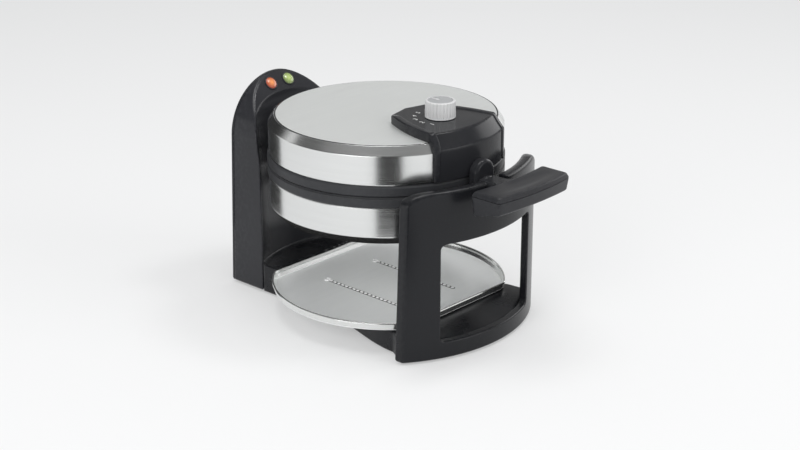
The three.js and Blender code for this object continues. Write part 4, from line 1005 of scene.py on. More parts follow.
@dataclass
class ControlCover(Part):
    """The black housing that runs from the lid's top over its bevel and down its front.

    It is drawn in the head's developed plane, whose polar angle is the angle round the head and whose
    distance from the middle is the way along the head's section, and then wrapped onto that section.
    """

    top: float = 54.8
    top_radius: float = 105.5
    skirt_radius: float = 114.8
    bevel_drop: float = 13.0
    bottom: float = 10.9
    back: float = -23.5
    corner: tuple[float, float] = (25.0, -29.5)
    front: tuple[float, float] = (45.5, -96.0)
    bulge: float = 4.0
    skirt_half: float = 48.0
    seat: tuple[tuple[float, ...], ...] = ((0.0, 99.0, 105.4, 120.5, 124.5, 200.0),
                                           (0.0, 99.0, 106.1, 111.6, 111.9, 111.9),
                                           (46.7, 46.7, 46.7, 39.0, 38.4, -37.1))
    rim: float = 6.8
    rim_rise: float = 1.0
    fillet: float = 1.6
    crease: float = 3.0
    ease: int = 6
    middle: tuple[float, float] = (0.0, -78.0)

    def section(self) -> tuple[Array, Array, Array]:
        """The head's section that the cover follows: way along it, radius and height."""
        r, c = self.skirt_radius, self.crease
        path = filleted([[0, self.top], [self.top_radius, self.top], [r, self.top - self.bevel_drop],
                         [r, self.bottom - 20]], [0, c, c * 1.4, 0], 10, closed=False)
        return ways(path), *path.T

    def wrapped(self, plane: Array, lift: Array) -> Array:
        """Developed points carried to space.

        A positive lift moves a point out along the section's normal; a negative one moves it towards
        its seat on the steel shell, and no further. The seat is a table of way, radius and height.
        """
        way, radius, height = self.section()
        m = np.hypot(plane[..., 0], plane[..., 1])
        angle = np.arctan2(plane[..., 0], -plane[..., 1])
        r, z = np.interp(m, way, radius), np.interp(m, way, height)
        step = 0.8
        dr = np.interp(m + step, way, radius) - np.interp(m - step, way, radius)
        dz = np.interp(m + step, way, height) - np.interp(m - step, way, height)
        size = np.maximum(np.hypot(dr, dz), TINY)
        inner = m < step * 2
        to_r, to_z = np.interp(m, *self.seat[:2]) - r, np.interp(m, self.seat[0], self.seat[2]) - z
        share = np.clip(-lift / np.hypot(to_r, to_z), 0, 1)
        out = np.maximum(lift, 0)
        r = r + np.where(inner, 0, -dz / size) * out + to_r * share
        z = z + np.where(inner, 1, dr / size) * out + to_z * share
        return joined(r * np.sin(angle), -r * np.cos(angle), z)

    def outline(self) -> list[Array]:
        """The cover's edge in the developed plane: foot, right side, two back edges and left side."""
        way, radius, height = self.section()
        wall = radius > self.skirt_radius - 0.01
        end = float(np.interp(-self.bottom, -height[wall], way[wall]))
        turn = math.asin(self.skirt_half / self.skirt_radius)
        sweep = np.linspace(-turn, turn, 41)
        foot = end * joined(np.sin(sweep), -np.cos(sweep))
        (cx, cy), (fx, fy) = self.corner, self.front
        t = np.linspace(0, 1, 30)
        flank = joined(fx + (cx - fx) * t + self.bulge * np.sin(math.pi * t), fy + (cy - fy) * t)
        mid = np.linspace(end, math.hypot(fx, fy) + 6.0, 20)
        rise = joined(mid * math.sin(turn), -mid * math.cos(turn))
        right = spaced(np.vstack([rise, flank[2:]]))
        padded = np.pad(right, ((self.ease, self.ease), (0, 0)), mode="reflect", reflect_type="odd")
        count = 2 * self.ease + 1
        right = joined(*(np.convolve(column, np.ones(count) / count, mode="valid") for column in padded.T))
        back = spaced([right[-1], [0, self.back]])
        return [spaced(np.vstack([right[:1] * FLIP, foot[1:-1], right[:1]])), right, back, mirrored(back),
                mirrored(right)]

    def surface(self) -> Surface:
        """Wall, rounded edge, raised side rim and face, one ring of points for each inset from the edge."""
        quarter = np.linspace(0, math.pi / 2, 6)
        slope = np.linspace(0, 1, 5)[1:]
        f, fill = self.fillet, 60
        insets = np.concatenate([[0, 0], f * (1 - np.cos(quarter)), [self.rim - 1.6],
                                 self.rim - 1.2 + 1.2 * slope, [self.rim + 0.6]])
        rim = np.concatenate([np.ones(3 + len(quarter)), 1 - smooth_step(slope, 0, 1), np.zeros(1 + fill)])
        base = np.concatenate([[-9.0, -3.5], f * (np.sin(quarter) - 1), np.zeros(6 + fill)])
        sides = self.outline()
        places = np.stack([mitred(sides, inset) for inset in insets])
        ridge = [np.zeros(len(side) - 1) for side in sides]
        ramp = smooth_step(np.arange(len(sides[1]) - 1)[::-1] * 0.8, 0, 7.0)
        ridge[1], ridge[4] = ramp, ramp[::-1]
        lift = base[:, None] + rim[:, None] * self.rim_rise * np.concatenate(ridge)
        return Surface(self.wrapped(np.concatenate([places, to_centre(places[-1], self.middle, fill)]), lift))

    def build(self) -> None:
        """Makes the cover."""
        self.shop.piece("control_housing", lifted(self.surface()), GLOSS, "lid", "control_cover", wall=1.5,
                        sharp=50)


@dataclass
class ControlKnob(Part):
    """The white knob: a ribbed round cap with a shallow dish, a pointer line and figures beside it."""

    centre: tuple[float, float] = (1.5, -67.0)
    base: float = 55.2
    height: float = 16.0
    radius: float = 14.6
    ribs: int = 26
    rib_depth: float = 0.75
    figure_radius: float = 24.0
    figure_size: float = 6.8
    figure_depth: float = 0.05
    bearings: tuple[float, float] = (204.0, 74.0)

    def seated(self, surface: Surface) -> list[Surface]:
        """A surface drawn about the knob's own axis, set on the cover."""
        return lifted(surface.moved(*self.centre, self.base))

    def cap(self) -> Surface:
        """Radius at each height less a rib depth times ((1 + cos n a) / 2)^3, which fades at both ends."""
        h, r = self.height, self.radius
        section = filleted([[0, 0.0], [r - 0.3, 0.0], [r - 0.6, h - 0.2], [r - 2.6, h], [r - 3.2, h - 0.35],
                            [0, h - 0.6]], [0, 0.5, 1.2, 0.4, 0.3, 0], 5, closed=False)
        way = ways(section)
        even = np.unique(np.concatenate([way, np.linspace(0, way[-1], 60)]))
        plain, z = points_at(section, way, even).T[..., None]
        angle = around(self.ribs * 12)
        cut = ((1 + np.cos(self.ribs * angle)) / 2) ** 3
        outer = smooth_step(plain, r - 3.0, r - 1.4)
        amount = self.rib_depth * outer * smooth_step(z, 0.4, 1.4) * (1 - smooth_step(z, h - 1.2, h - 0.3))
        radius = plain - amount * cut
        return Surface(joined(radius * np.cos(angle), radius * np.sin(angle), z))

    def pointer(self) -> Surface:
        """A raised line on the cap's top, from near its middle to its edge."""
        return box((-0.7, 0.7), (1.5, 11.2), (self.height - 0.9, self.height + 0.1), 0.6, 0.2)

    def figures(self) -> None:
        """Plain figures 1 to 6 on an arc to the left and behind the knob."""
        for number, bearing in enumerate(np.radians(np.linspace(*self.bearings, 6)), 1):
            curve = bpy.data.curves.new(f"figure_{number}", "FONT")
            curve.body = str(number)
            curve.size = self.figure_size * MM
            curve.align_x = curve.align_y = "CENTER"
            curve.extrude = self.figure_depth * MM
            text = placed(f"figure_{number}_text", curve)
            mesh = evaluated(text)
            bpy.data.objects.remove(text)
            x, y = np.array(self.centre) + self.figure_radius * circle(bearing)
            place = in_row([x, y, AXIS_HEIGHT + self.base - 0.4 + self.figure_depth])
            mesh.transform(Matrix.Translation(Vector(place)))
            mesh.materials.clear()
            mesh.materials.append(self.shop.finish(PRINT))
            obj = placed(f"dial_figure_{number}", mesh)
            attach(obj, "lid")

    def in_dish(self, face: Array) -> Array:
        """Whether a face of the cap lies in its dish."""
        place = face - np.array([*self.centre, AXIS_HEIGHT + self.base])
        return (np.hypot(place[:, 0], place[:, 1]) < self.radius - 2.7) & (place[:, 2] > self.height - 1.0)

    def build(self) -> None:
        """Makes the cap, its dish painted darker as shade, its pointer and the figures; the shaft keeps its
        solid.
        """
        cap = self.shop.piece("knob_cap", self.seated(self.cap()), KNOB, "knob", "control_knob", sharp=40)
        # Faces in the dish are painted darker: painted shade.
        self.shop.repaint(cap, self.in_dish, KNOB_DISH_SHADE)
        self.shop.piece("knob_pointer", self.seated(self.pointer()), KNOB, "knob")
        self.figures()


@dataclass
class Arms(Part):
    """The lugs behind the stand, the necks in its notch and the tongue that the grip folds on."""

    lug_half: float = 13.0
    lug_centre: float = 13.7
    lug_back: float = -115.1
    lug_front: float = -124.1
    neck_radius: float = 13.4
    neck_flat: float = 10.2
    neck_end: float = -142.2
    collar_radius: float = 11.6
    collar_end: float = -128.5
    fold_y: float = -158.0
    fold_z: float = 4.0
    knuckle: float = 6.5
    knuckle_half: float = 15.0
    knuckle_bore: float = 2.2
    pad_half: float = 20.0
    pad_low: float = 10.9
    pad_high: float = 34.0
    pad_inner: float = 112.35
    pad_outer: float = 114.8
    foot_back: float = -112.9
    whole: float = 20.0
    seam_gap: float = 0.25

    def lug(self) -> Surface:
        """An arch: upright sides and a half-round top, rounded well over at the front."""
        half, gap = self.lug_half, self.seam_gap
        outline = np.vstack([[[half, gap]], arc((0, self.lug_centre), half, 0, 180, 40), [[-half, gap]]])
        return Slab(resampled(outline, 120), 0.4, 3.2, (0, 10.0), fill=8, steps=6).facing(
            self.lug_back, self.lug_front)

    def half_round(self, radius: float, start: float, end: float, flat: float, fillet: float) -> Surface:
        """Half of a round bar along Y, cut level at a height: min(radius sin a, flat)."""
        ring = arc((0, 0), radius, 0, 180, 60)
        ring[:, 1] = np.clip(ring[:, 1], self.seam_gap, flat)
        return Slab(resampled(ring, 90), 0.3, fillet, (0, flat / 2), fill=5, steps=4).facing(
            self.lug_front + start, end)

    def tongue(self) -> Surface:
        """A flat tongue that widens from the collar to the grip, in plan a rounded flare."""
        end = self.fold_y + self.knuckle_bore + 0.3
        side = np.array([[6.4, -122.5], [7.2, -131.0], [8.6, -138.5], [9.0, -141.6], [14.2, -147.5],
                         [self.knuckle_half, -150.5], [self.knuckle_half, end]])
        path = filleted(np.vstack([side, mirrored(side)]), [1, 6, 4, 3, 5, 3, 0, 0, 3, 5, 3, 4, 6, 1])
        low, high = self.fold_z - self.knuckle, self.fold_z + self.knuckle
        return Slab(resampled(path, 160), 0.6, 1.0, (0, -146.0), fill=10, steps=4).upright(
            lambda x, y: np.where(y > self.neck_end, 0.3, low), high)

    def knuckle_bar(self) -> Surface:
        """The round end of the tongue, bored for the grip's pin."""
        r, b, h = self.knuckle, self.knuckle_bore, self.knuckle_half
        return lathed([[b, -h], [r, -h], [r, h], [b, h]], [0.2, 0.6, 0.6, 0.2], 3, 48,
                      (0, self.fold_y, self.fold_z), "x", closed=True)

    def pad(self) -> Surface:
        """A plate that lies against the lower shell: two round faces over a rounded oblong."""
        w, a, b = self.pad_half, self.pad_low, self.pad_high
        path = oblong((-w, a, w, b), [1, 1, 8, 8], 8, 120)
        return Slab(path, 0.2, 0.9, (0, (a + b) / 2), fill=8, steps=4).facing(
            round_face(self.pad_inner, -1), round_face(self.pad_outer, -1))

    def foot(self) -> Surface:
        """The lug's foot, which joins it to the pad."""
        path = oblong((-self.lug_half, 9, self.lug_half, 22), 0.8, 3, 80)
        return Slab(path, 0.2, 2.0, (0, 15.0), fill=4, steps=4).facing(self.foot_back, self.lug_front + 0.2)

    def build(self) -> None:
        """Makes both arms."""
        neck = self.half_round(self.neck_radius, 3, self.neck_end, self.neck_flat, 0.8)
        collar = self.half_round(self.collar_radius, 2, self.collar_end, self.whole, 2.2)
        self.shop.piece("lid_arm_moulding", lifted(self.lug(), neck, collar, self.tongue(), self.knuckle_bar()),
                        GLOSS, "lid", "lid_arm")
        neck = self.half_round(self.neck_radius, 3, self.neck_end, self.whole, 0.8)
        self.shop.piece("lower_arm_moulding", lowered(self.lug(), neck, self.pad(), self.foot()), GLOSS,
                        "lower_half", "lower_arm")


@dataclass
class Grip(Part):
    """The folding grip: a dished top shell over a bottom shell whose underside slopes up to the nose."""

    half: float = 50.0
    inner: float = -148.5
    inner_bow: float = 4.0
    outer: float = -181.0
    outer_bow: float = 4.5
    top: float = 167.4
    dish: float = 0.9
    dish_half: tuple[float, float] = (36.0, 9.0)
    middle: float = -167.0
    split: float = 162.5
    inner_bottom: float = 144.0
    outer_bottom: float = 151.7
    fold_y: float = -158.0
    fold_z: float = 156.0
    slot_half: float = 15.35
    slot_end: float = -164.85

    def shell(self, low_fillet: float, high_fillet: float, steps: int, **drafts: float) -> Slab:
        """A shell over the grip's plan: two bowed edges, y = edge - bow (1 - (x / half)^2), and two ends."""
        share = np.linspace(-1, 1, 41)
        front = joined(self.half * share, self.outer - self.outer_bow * (1 - share ** 2))
        back = joined(-self.half * share, self.inner - self.inner_bow * (1 - share ** 2))
        sides = [spaced(side) for side in (front, [front[-1], back[0]], back, [back[-1], front[0]])]
        return Slab(sides, low_fillet, high_fillet, (0, self.middle), fill=26, steps=steps, soften=10, **drafts)

    def dished(self, x: Array, y: Array) -> Array:
        """The top's height less a shallow dish: depth * exp(-((x / a)^2 + (y / b)^2)^2)."""
        a, b = self.dish_half
        return self.top - self.dish * np.exp(-((x / a) ** 2 + ((y - self.middle) / b) ** 2) ** 2)

    def under(self, x: Array, y: Array) -> Array:
        """The underside's height: it slopes up to the nose."""
        start, end = self.inner - self.inner_bow, self.outer - self.outer_bow
        slope = (self.outer_bottom - self.inner_bottom) / (start - end)
        return np.maximum(self.inner_bottom + (start - y) * slope, self.inner_bottom)

    def build(self) -> None:
        """Makes both shells and the pin, and dresses the screws."""
        top = self.shell(0.5, 2.4, 7, draft=1.0).upright(self.split + 0.3, self.dished)
        bottom = self.shell(2.2, 0.3, 6, low_draft=1.2).upright(self.under, self.split)
        slot = box((-self.slot_half, self.slot_half), (self.slot_end, -140.0), (130.0, 170.0), 0.6, 0.1)
        pin = bar(2.0, -26, 26, (0, self.fold_y, self.fold_z), "x")
        self.shop.piece("grip_top_shell", top, SATIN, "grip", "grip_top", slot="black_gloss")
        self.shop.piece("grip_bottom_shell", bottom, SATIN, "grip", "grip_bottom", slot="black_gloss",
                        cuts=[slot])
        self.shop.piece("grip_fold_pin", pin, ZINC, "grip", "grip_pin")
        self.shop.dress(ZINC, "grip_screw_left", "grip_screw_right")


@dataclass
class Hinge(Part):
    """The rear hinge: the lower half's bracket, the lid's lug and the pin through both."""

    y: float = 117.5
    z: float = 31.0
    knuckle: float = 4.2
    pin: float = 2.0
    lid_half: float = 19.7
    gap: float = 0.8
    end: float = 33.0
    inner: float = 113.55
    outer: float = 116.55
    low: float = -30.0
    middle_top: float = 16.5
    pad_low: float = 18.0
    pad_high: float = 37.2
    pad_inner: float = 112.35
    pad_outer: float = 114.5
    web_front: float = 112.9

    def bent(self, corners: Sequence[float], radii: list | float, steps: int, count: int,
             centre: tuple[float, float], fill: int) -> Surface:
        """A rounded oblong plate bent round the head, its faces filled with rings towards a centre."""
        return Slab(oblong(corners, radii, steps, count), 0.6, 0.8, centre, fill=fill, steps=3).facing(
            round_face(self.inner), round_face(self.outer))

    def bracket(self) -> list[Surface]:
        """A plate bent round the head with two ears, and a knuckle on each ear."""
        e, s, t, y, z = self.end, self.lid_half + self.gap, self.middle_top, self.y, self.z
        parts = [self.bent((-e, self.low, e, t), [5, 5, 1, 1], 6, 160, (0, -7.0), 12)]
        for x0, x1 in ((-e, -s), (s, e)):
            parts += [self.bent((x0, t - 4, x1, z - 2), 1.0, 3, 60, ((x0 + x1) / 2, 20.0), 4),
                      box((x0, x1), (self.inner - 1.3, y), (z - 8, z), 0.6, 0.6),
                      bar(self.knuckle, x0, x1, (0, y, z), "x", 0.5)]
        return parts

    def lug(self) -> list[Surface]:
        """The lid's lug: a pad on the shell, a web and its knuckle."""
        w = self.lid_half
        path = oblong((-w, self.pad_low, w, self.pad_high), [1, 1, 3, 3], 4, 100)
        pad = Slab(path, 0.2, 0.7, (0, 28.0), fill=6, steps=3).facing(
            round_face(self.pad_inner), round_face(self.pad_outer))
        web = box((-w, w), (self.web_front, self.y), (self.z - 4, self.z + 4), 0.6, 0.6)
        return [pad, web, bar(self.knuckle, -w, w, (0, self.y, self.z), "x", 0.5)]

    def build(self) -> None:
        """Makes the bracket, the lug and the pin."""
        pin = bar(self.pin, -self.end - 1, self.end + 1, (0, self.y, self.z), "x", 0.5)
        self.shop.piece("hinge_bracket_casting", lifted(*self.bracket()), SATIN, "lower_half", "hinge_bracket")
        self.shop.piece("lid_hinge_casting", lifted(*self.lug()), SATIN, "lid", "lid_hinge_lug")
        self.shop.piece("hinge_rod", lifted(pin), ZINC, "lower_half", "hinge_pin")


class TurningShaft(Part):
    """The hollow shaft in the tower with its flange, bush, stop collar and clip."""

    def tube(self, profile: list, radii: float = 0.4) -> list[Surface]:
        """A tube about the turning axis from a closed profile of (radius, y)."""
        return lifted(lathed(profile, radii, 3, 64, axis="y", closed=True))

    def build(self) -> None:
        """Makes the shaft, the bush and the clip; the stop collar inside the tower keeps its solid."""
        shaft = [[5, 116.85], [16, 116.85], [16, 119.45], [8, 119.45], [8, 149], [5, 149]]
        self.shop.piece("turning_shaft", self.tube(shaft), ZINC, "lower_half", "turn_shaft")
        front, back = (corner[1] for corner in node_box("tower_bush"))
        bush = [[8.35, front], [15, front], [15, front + 2.5], [12.15, front + 2.5], [12.15, back],
                [8.35, back]]
        self.shop.piece("shaft_bush", self.tube(bush, 0.5), CERAMIC, "base", "tower_bush")
        front, back = (corner[1] for corner in node_box("shaft_clip"))
        clip = [[8.3, front], [11, front], [11, back], [8.3, back]]
        self.shop.piece("shaft_clip_ring", self.tube(clip, 0.3), ZINC, "lower_half", "shaft_clip")
        self.shop.dress(ZINC, "stop_collar")


# ---------------------------------------------------------------------------------------------------
# Tower, base, stand and tray
# ---------------------------------------------------------------------------------------------------

@dataclass
class Tower(Part):
    """The rear tower: leaning sides, a half-round top, a face hollowed round the head and a light panel."""

    foot_half: float = 62.0
    foot: float = 2.0
    shoulder_half: float = 57.0
    shoulder: float = 153.0
    back: float = 153.5
    cover_back: float = 157.3
    heights: tuple[float, ...] = (0.0, 60.0, 130.0, 169.0, 188.0, 240.0)
    reaches: tuple[float, ...] = (127.5, 127.5, 129.5, 134.5, 140.0, 140.0)
    panel_foot: tuple[float, float] = (140.0, 193.0)
    panel_head: tuple[float, float] = (154.0, 210.0)
    ease: int = 14

    def outline(self, inset: float = 0.0) -> Array:
        """The tower from the front: foot corners, sides that lean in, and a half circle on top."""
        foot, shoulder, low = self.foot_half - inset, self.shoulder_half - inset, self.foot + inset
        base = filleted([[-shoulder, self.shoulder], [-foot, low], [foot, low], [shoulder, self.shoulder]],
                        [0, 2, 2, 0], closed=False)
        return np.vstack([base, arc((0, self.shoulder), shoulder, 0, 180, 90)[1:-1]])

    def reach(self, z: Array) -> Array:
        """Distance of the hollow face from the head's centre line, eased between the named heights."""
        fine = np.linspace(0, self.heights[-1], 481)
        plain = np.interp(fine, self.heights, self.reaches)
        kernel = np.hanning(2 * self.ease + 1)
        eased = np.convolve(np.pad(plain, self.ease, mode="edge"), kernel / kernel.sum(), mode="valid")
        return np.interp(z, fine, eased)

    def face(self, x: Array, z: Array) -> Array:
        """The hollow face sqrt(reach^2 - x^2), or the sloped panel where that lies further back."""
        (y0, z0), (y1, z1) = self.panel_foot, self.panel_head
        panel = y0 + (z - z0) * (y1 - y0) / (z1 - z0)
        hollow = np.sqrt(np.maximum(self.reach(z) ** 2 - x ** 2, 1.0))
        return np.minimum(smooth_max(hollow, panel, 0.5), self.back - 0.3)

    def shell(self) -> Surface:
        """One sheet from the back edge round the sides and over the front, drawn to a middle point."""
        slab = Slab(resampled(self.outline(), 400), 0.0, 2.2, (0, 150.0), fill=90, steps=6, open_low=True,
                    support=1.2)
        return slab.facing(self.back, self.face)

    def back_cover(self) -> list[Surface]:
        """The back plate with a shallow raised field and rows of vent ribs."""
        plate = Slab(resampled(self.outline(), 260), 0.3, 1.6, (0, 120.0), fill=8, steps=5)
        raised = Slab(resampled(self.outline(9.0), 240), 0.2, 0.6, (0, 120.0), fill=6, steps=4)
        ribs = [box((-24, 24), (self.cover_back, self.cover_back + 1.3), (z, z + 2.2), 0.3, 0.6)
                for z in np.arange(92.0, 126.0, 5.5)]
        return [plate.facing(self.back + 0.3, self.cover_back),
                raised.facing(self.cover_back - 0.6, self.cover_back + 0.5), *ribs]

    def build(self) -> None:
        """Makes the shell and the back cover, and dresses what is inside."""
        # The tower wears the lighter copy of the gloss black: painted light.
        self.shop.piece("tower_housing", self.shell(), LIT_GLOSS_COPY, "base", "tower_shell", wall=2.6, sharp=44)
        self.shop.piece("tower_back_plate", self.back_cover(), SATIN, "base", "tower_back_cover")
        self.shop.dress(BOARD, "lamp_board")
        self.shop.dress(CERAMIC, "terminal_block")
        self.shop.dress(LAMP, "power_lamp", "ready_lamp")


@dataclass
class Indicator(Part):
    """One domed indicator lens in a slim raised bezel on the tower's sloped panel."""

    name: str
    slot: str
    x: float
    rim: Colour
    middle: Colour
    radius: float = 6.1
    rise: float = 1.7
    stem: float = 4.6
    depth: float = 4.6
    y: float = 146.0

    def build(self) -> None:
        """Makes the dome, an ellipse turned about its axis, and the bezel round it.

        Both are drawn upright, leant back by the panel's slope and set on the panel.
        """
        (y0, z0), (y1, z1) = Tower.panel_foot, Tower.panel_head
        slope = math.atan2(z1 - z0, y1 - y0)
        foot = np.array([self.x, self.y, z0 + (self.y - y0) * (z1 - z0) / (y1 - y0)])
        c, s = math.cos(slope), math.sin(slope)
        lean = np.array([[1, 0, 0], [0, c, s], [0, -s, c]])
        r, a = self.radius, np.linspace(0, math.pi / 2, 20)
        dome = joined(r * np.cos(a), 0.7 + self.rise * np.sin(a))
        dome[-1, 0] = 0
        stem = [[0, -self.depth], [self.stem, -self.depth], [self.stem, 0.3], [r, 0.3]]
        lens = turned(np.vstack([stem, dome]), 72, wrap=False)
        ring = lathed([[r + 0.05, 0.05], [r + 1.2, 0.05], [r + 1.0, 1.0], [r + 0.1, 1.0]], 0.3, 3, 72,
                      closed=True)
        tint = TintedLens(f"{self.name}_tint", self.slot, self.rim, self.middle,
                          tuple(in_row(foot + np.array([0, -2.0, 2.0]))), r)
        self.shop.piece(f"{self.name}_lens_dome", lens.mapped(lambda p: p @ lean + foot), tint, "base",
                        f"{self.name}_lens")
        self.shop.piece(f"{self.name}_bezel", ring.mapped(lambda p: p @ lean + foot), SATIN, "base")


@dataclass
class Stand(Part):
    """The front stand: a wall bent round the head with a window, a rolled lip and a notch for the neck."""

    radius: float = 151.8
    centre_y: float = 13.0
    wall: float = 7.8
    lip: float = 12.0
    foot_half: float = 93.3
    foot: float = 2.0
    shoulder_half: float = 90.0
    shoulder: float = 151.7
    top: float = 163.4
    top_half: float = 67.0
    notch: float = 13.75
    notch_edge: float = 1.6
    window_half: float = 61.4
    window_low: float = 18.6
    window_high: float = 113.0
    window_corner: float = 5.0
    window_notch: float = 16.0
    fillet: float = 1.8
    roll: float = 3.4
    roll_start: float = 11.0
    roll_full: float = 3.0
    lip_full: float = 4.0
    counts: tuple[int, ...] = (130, 110, 90, 50, 90, 90)

    def outlines(self) -> list[Array]:
        """The wall's edge and the window's edge in the (x, height) plane, matched point by point.

        Both start at the left foot and run anticlockwise through the right foot, the right shoulder, the
        notch and the left shoulder, with as many points in each stretch.
        """
        f, s, n, r, low = self.foot_half, self.shoulder_half, self.notch, self.notch_edge, self.foot + 3
        turn = np.radians(np.linspace(0, 90, 16))
        curve = joined(self.top_half + (s - self.top_half) * np.cos(turn),
                       self.shoulder + (self.top - self.shoulder) * np.sin(turn))
        top = np.vstack([curve, arc((n + r, self.top - r), r, 90, 180, 5)])
        cradle = arc((0, AXIS_HEIGHT), n, 0, -180, 32)
        bottom = filleted([[-f, low], [-f, self.foot], [f, self.foot], [f, low]], [0, 1.5, 1.5, 0], 4,
                          closed=False)
        outer = [bottom, [[f, low], [s, self.shoulder]], top, [top[-1], *cradle, top[-1] * FLIP], mirrored(top),
                 [[-s, self.shoulder], [-f, low]]]
        w, lo, hi, c, m = (self.window_half, self.window_low, self.window_high, self.window_corner,
                           self.window_notch)
        corner = np.vstack([arc((w - c, hi - c), c, 0, 90, 8), [[m, hi]]])
        inner = [[*arc((-w + c, lo + c), c, 180, 270, 8), *arc((w - c, lo + c), c, 270, 360, 8)],
                 [[w, lo + c], [w, hi - c]], corner, [[m, hi], [-m, hi]], mirrored(corner),
                 [[-w, hi - c], [-w, lo + c]]]
        return [np.vstack([resampled(np.array(path), count + 1, closed=False)[:-1]
                           for path, count in zip(paths, self.counts)]) for paths in (outer, inner)]

    def surface(self) -> Surface:
        """One closed band: front face from edge to window, through the window, and back behind.

        Each row has its places in the plane and its depths behind the front face; rows near an edge
        follow its fillet. The rear rows are the front ones in reverse, with their depths turned round.
        """
        edge, window = self.outlines()
        into_edge, into_window = inward(edge), inward(window)
        f = self.fillet
        g = f + (self.roll - f) * smooth_step(edge[:, 1], self.top - self.roll_start, self.top - self.roll_full)
        bend = np.linspace(0, math.pi / 2, 6)[:, None]
        share = np.linspace(0, 1, 46)[1:-1, None, None]
        rows = np.concatenate([
            edge + into_edge * (g * (1 - np.cos(bend)))[..., None],
            (edge + into_edge * g[:, None]) * (1 - share) + (window - into_window * f) * share,
            window - into_window * (f * (1 - np.cos(bend[::-1])))[..., None]])
        depth = np.concatenate([g * (1 - np.sin(bend)), np.zeros((len(share), len(g))),
                                f * (1 - np.sin(bend[::-1])).repeat(len(g), axis=1)])
        front, rear = self.radius, self.radius - self.wall
        plane = np.concatenate([rows, rows[::-1]])
        radius = np.concatenate([front - depth, rear + depth[::-1]])
        rolled = smooth_step(plane[..., 1], self.top - self.roll_start, self.top - self.lip_full)
        behind = np.clip(((front + rear) / 2 - radius) / (self.wall / 2), 0, 1)
        radius = radius - rolled * behind * (self.lip - self.wall)
        x = plane[..., 0]
        y = self.centre_y - np.sqrt(np.maximum(radius ** 2 - x ** 2, 1.0))
        return Surface(joined(x, y, plane[..., 1]), wrap_rows=True)

    def build(self) -> None:
        """Makes the stand."""
        # The stand wears the darker copy of the gloss black: painted shade.
        self.shop.piece("stand_wall", self.surface(), SHADED_GLOSS_COPY, "base", "front_stand", sharp=50)


@dataclass
class Base(Part):
    """The base under the tray: narrow in the middle, with a rear step and a sloped front."""

    rear_reach: float = 127.2
    front_reach: float = 143.7
    rear_half: float = 61.0
    waist: float = 60.0
    waist_y: float = 20.0
    front_half: float = 80.0
    front_y: float = -83.0
    corner_half: float = 89.0
    centre_y: float = Stand.centre_y
    floor: float = 2.0
    deck: float = 22.0
    step: float = 30.0
    step_y: float = 91.6
    step_run: float = 1.6
    slope_y: float = -99.5
    slope_drop: float = 10.0
    slope_end: float = -151.8
    slope_ease: float = 2.0
    slope_shift: float = 16.0
    shift_span: tuple[float, float] = (15.0, 75.0)
    cove: float = 5.0

    def outline(self, inset: float = 0.0) -> Array:
        """Rear arc, eased flanks x = waist + (front - waist) (3t^2 - 2t^3), corners and front arc."""
        rear, front = self.rear_reach - inset, self.front_reach - inset
        turn = math.degrees(math.acos((self.rear_half - inset) / rear))
        sweep = math.degrees(math.acos((self.corner_half - inset) / front))
        t = np.linspace(0, 1, 24)
        flank = joined(self.waist + (self.front_half - self.waist) * smooth_step(t, 0, 1) - inset,
                       self.waist_y + (self.front_y - self.waist_y) * t)
        right = np.vstack([arc((0, 0), rear, 90, turn, 30), flank,
                           arc((0, self.centre_y), front, -sweep, -90, 30)])
        return np.vstack([right, mirrored(right[1:-1])])

    def top(self, x: Array, y: Array) -> Array:
        """Deck, raised behind the rear step and falling away round the front.

        The front falls with the distance from the stand's centre, from a start that moves out beside the
        legs. The rear part meets the tower in a cove: c - sqrt(c^2 - t^2) over the last c millimetres.
        """
        away = np.hypot(x, y - self.centre_y)
        start = self.centre_y - self.slope_y + self.slope_shift * smooth_step(np.abs(x), *self.shift_span)
        grade = self.slope_drop / (self.slope_y - self.slope_end)
        fall = np.where(y < 0, smooth_max(away - start, 0, self.slope_ease) * grade, 0)
        into = np.clip(np.hypot(x, y) - self.rear_reach + self.cove, 0, self.cove)
        cove = self.cove - np.sqrt(self.cove ** 2 - into ** 2)
        rear = smooth_step(y, self.step_y, self.step_y + self.step_run)
        return self.deck - fall + (self.step - self.deck + cove) * rear

    def build(self) -> None:
        """Makes the base shell, the bottom cover and the feet; the screws keep their solids."""
        shell = Slab(resampled(self.outline(), 420), 0.0, 1.6, (0, -8.0), fill=70, steps=5, open_low=True,
                     support=1.2)
        cover = Slab(resampled(self.outline(3.3), 300), 0.3, 0.3, (0, -8.0), fill=6, steps=3)
        # The base wears the darker copy of the gloss black: painted shade.
        self.shop.piece("base_housing", shell.upright(self.floor, self.top), SHADED_GLOSS_COPY, "base", "base_shell",
                        wall=2.6, sharp=50)
        self.shop.piece("base_bottom_plate", cover.upright(self.floor + 0.02, self.floor + 1.9), SATIN, "base",
                        "base_bottom_cover")
        for corner in ("front_left", "front_right", "rear_left", "rear_right"):
            low, high = node_box(f"foot_{corner}")
            x, y, _ = (low + high) / 2
            pad = lathed([[0, 0], [5.6, 0], [5.9, 0.35], [7.0, 0], [6.6, 1.7], [3.0, 1.7], [3.0, high[2]],
                          [0, high[2]]], [0, 0.2, 0.2, 0.3, 0.4, 0.2, 0.3, 0], 3, 48, (x, y, 0))
            self.shop.piece(f"rubber_foot_{corner}", pad, RUBBER, "base", f"foot_{corner}")
            self.shop.dress(ZINC, f"base_screw_{corner}")


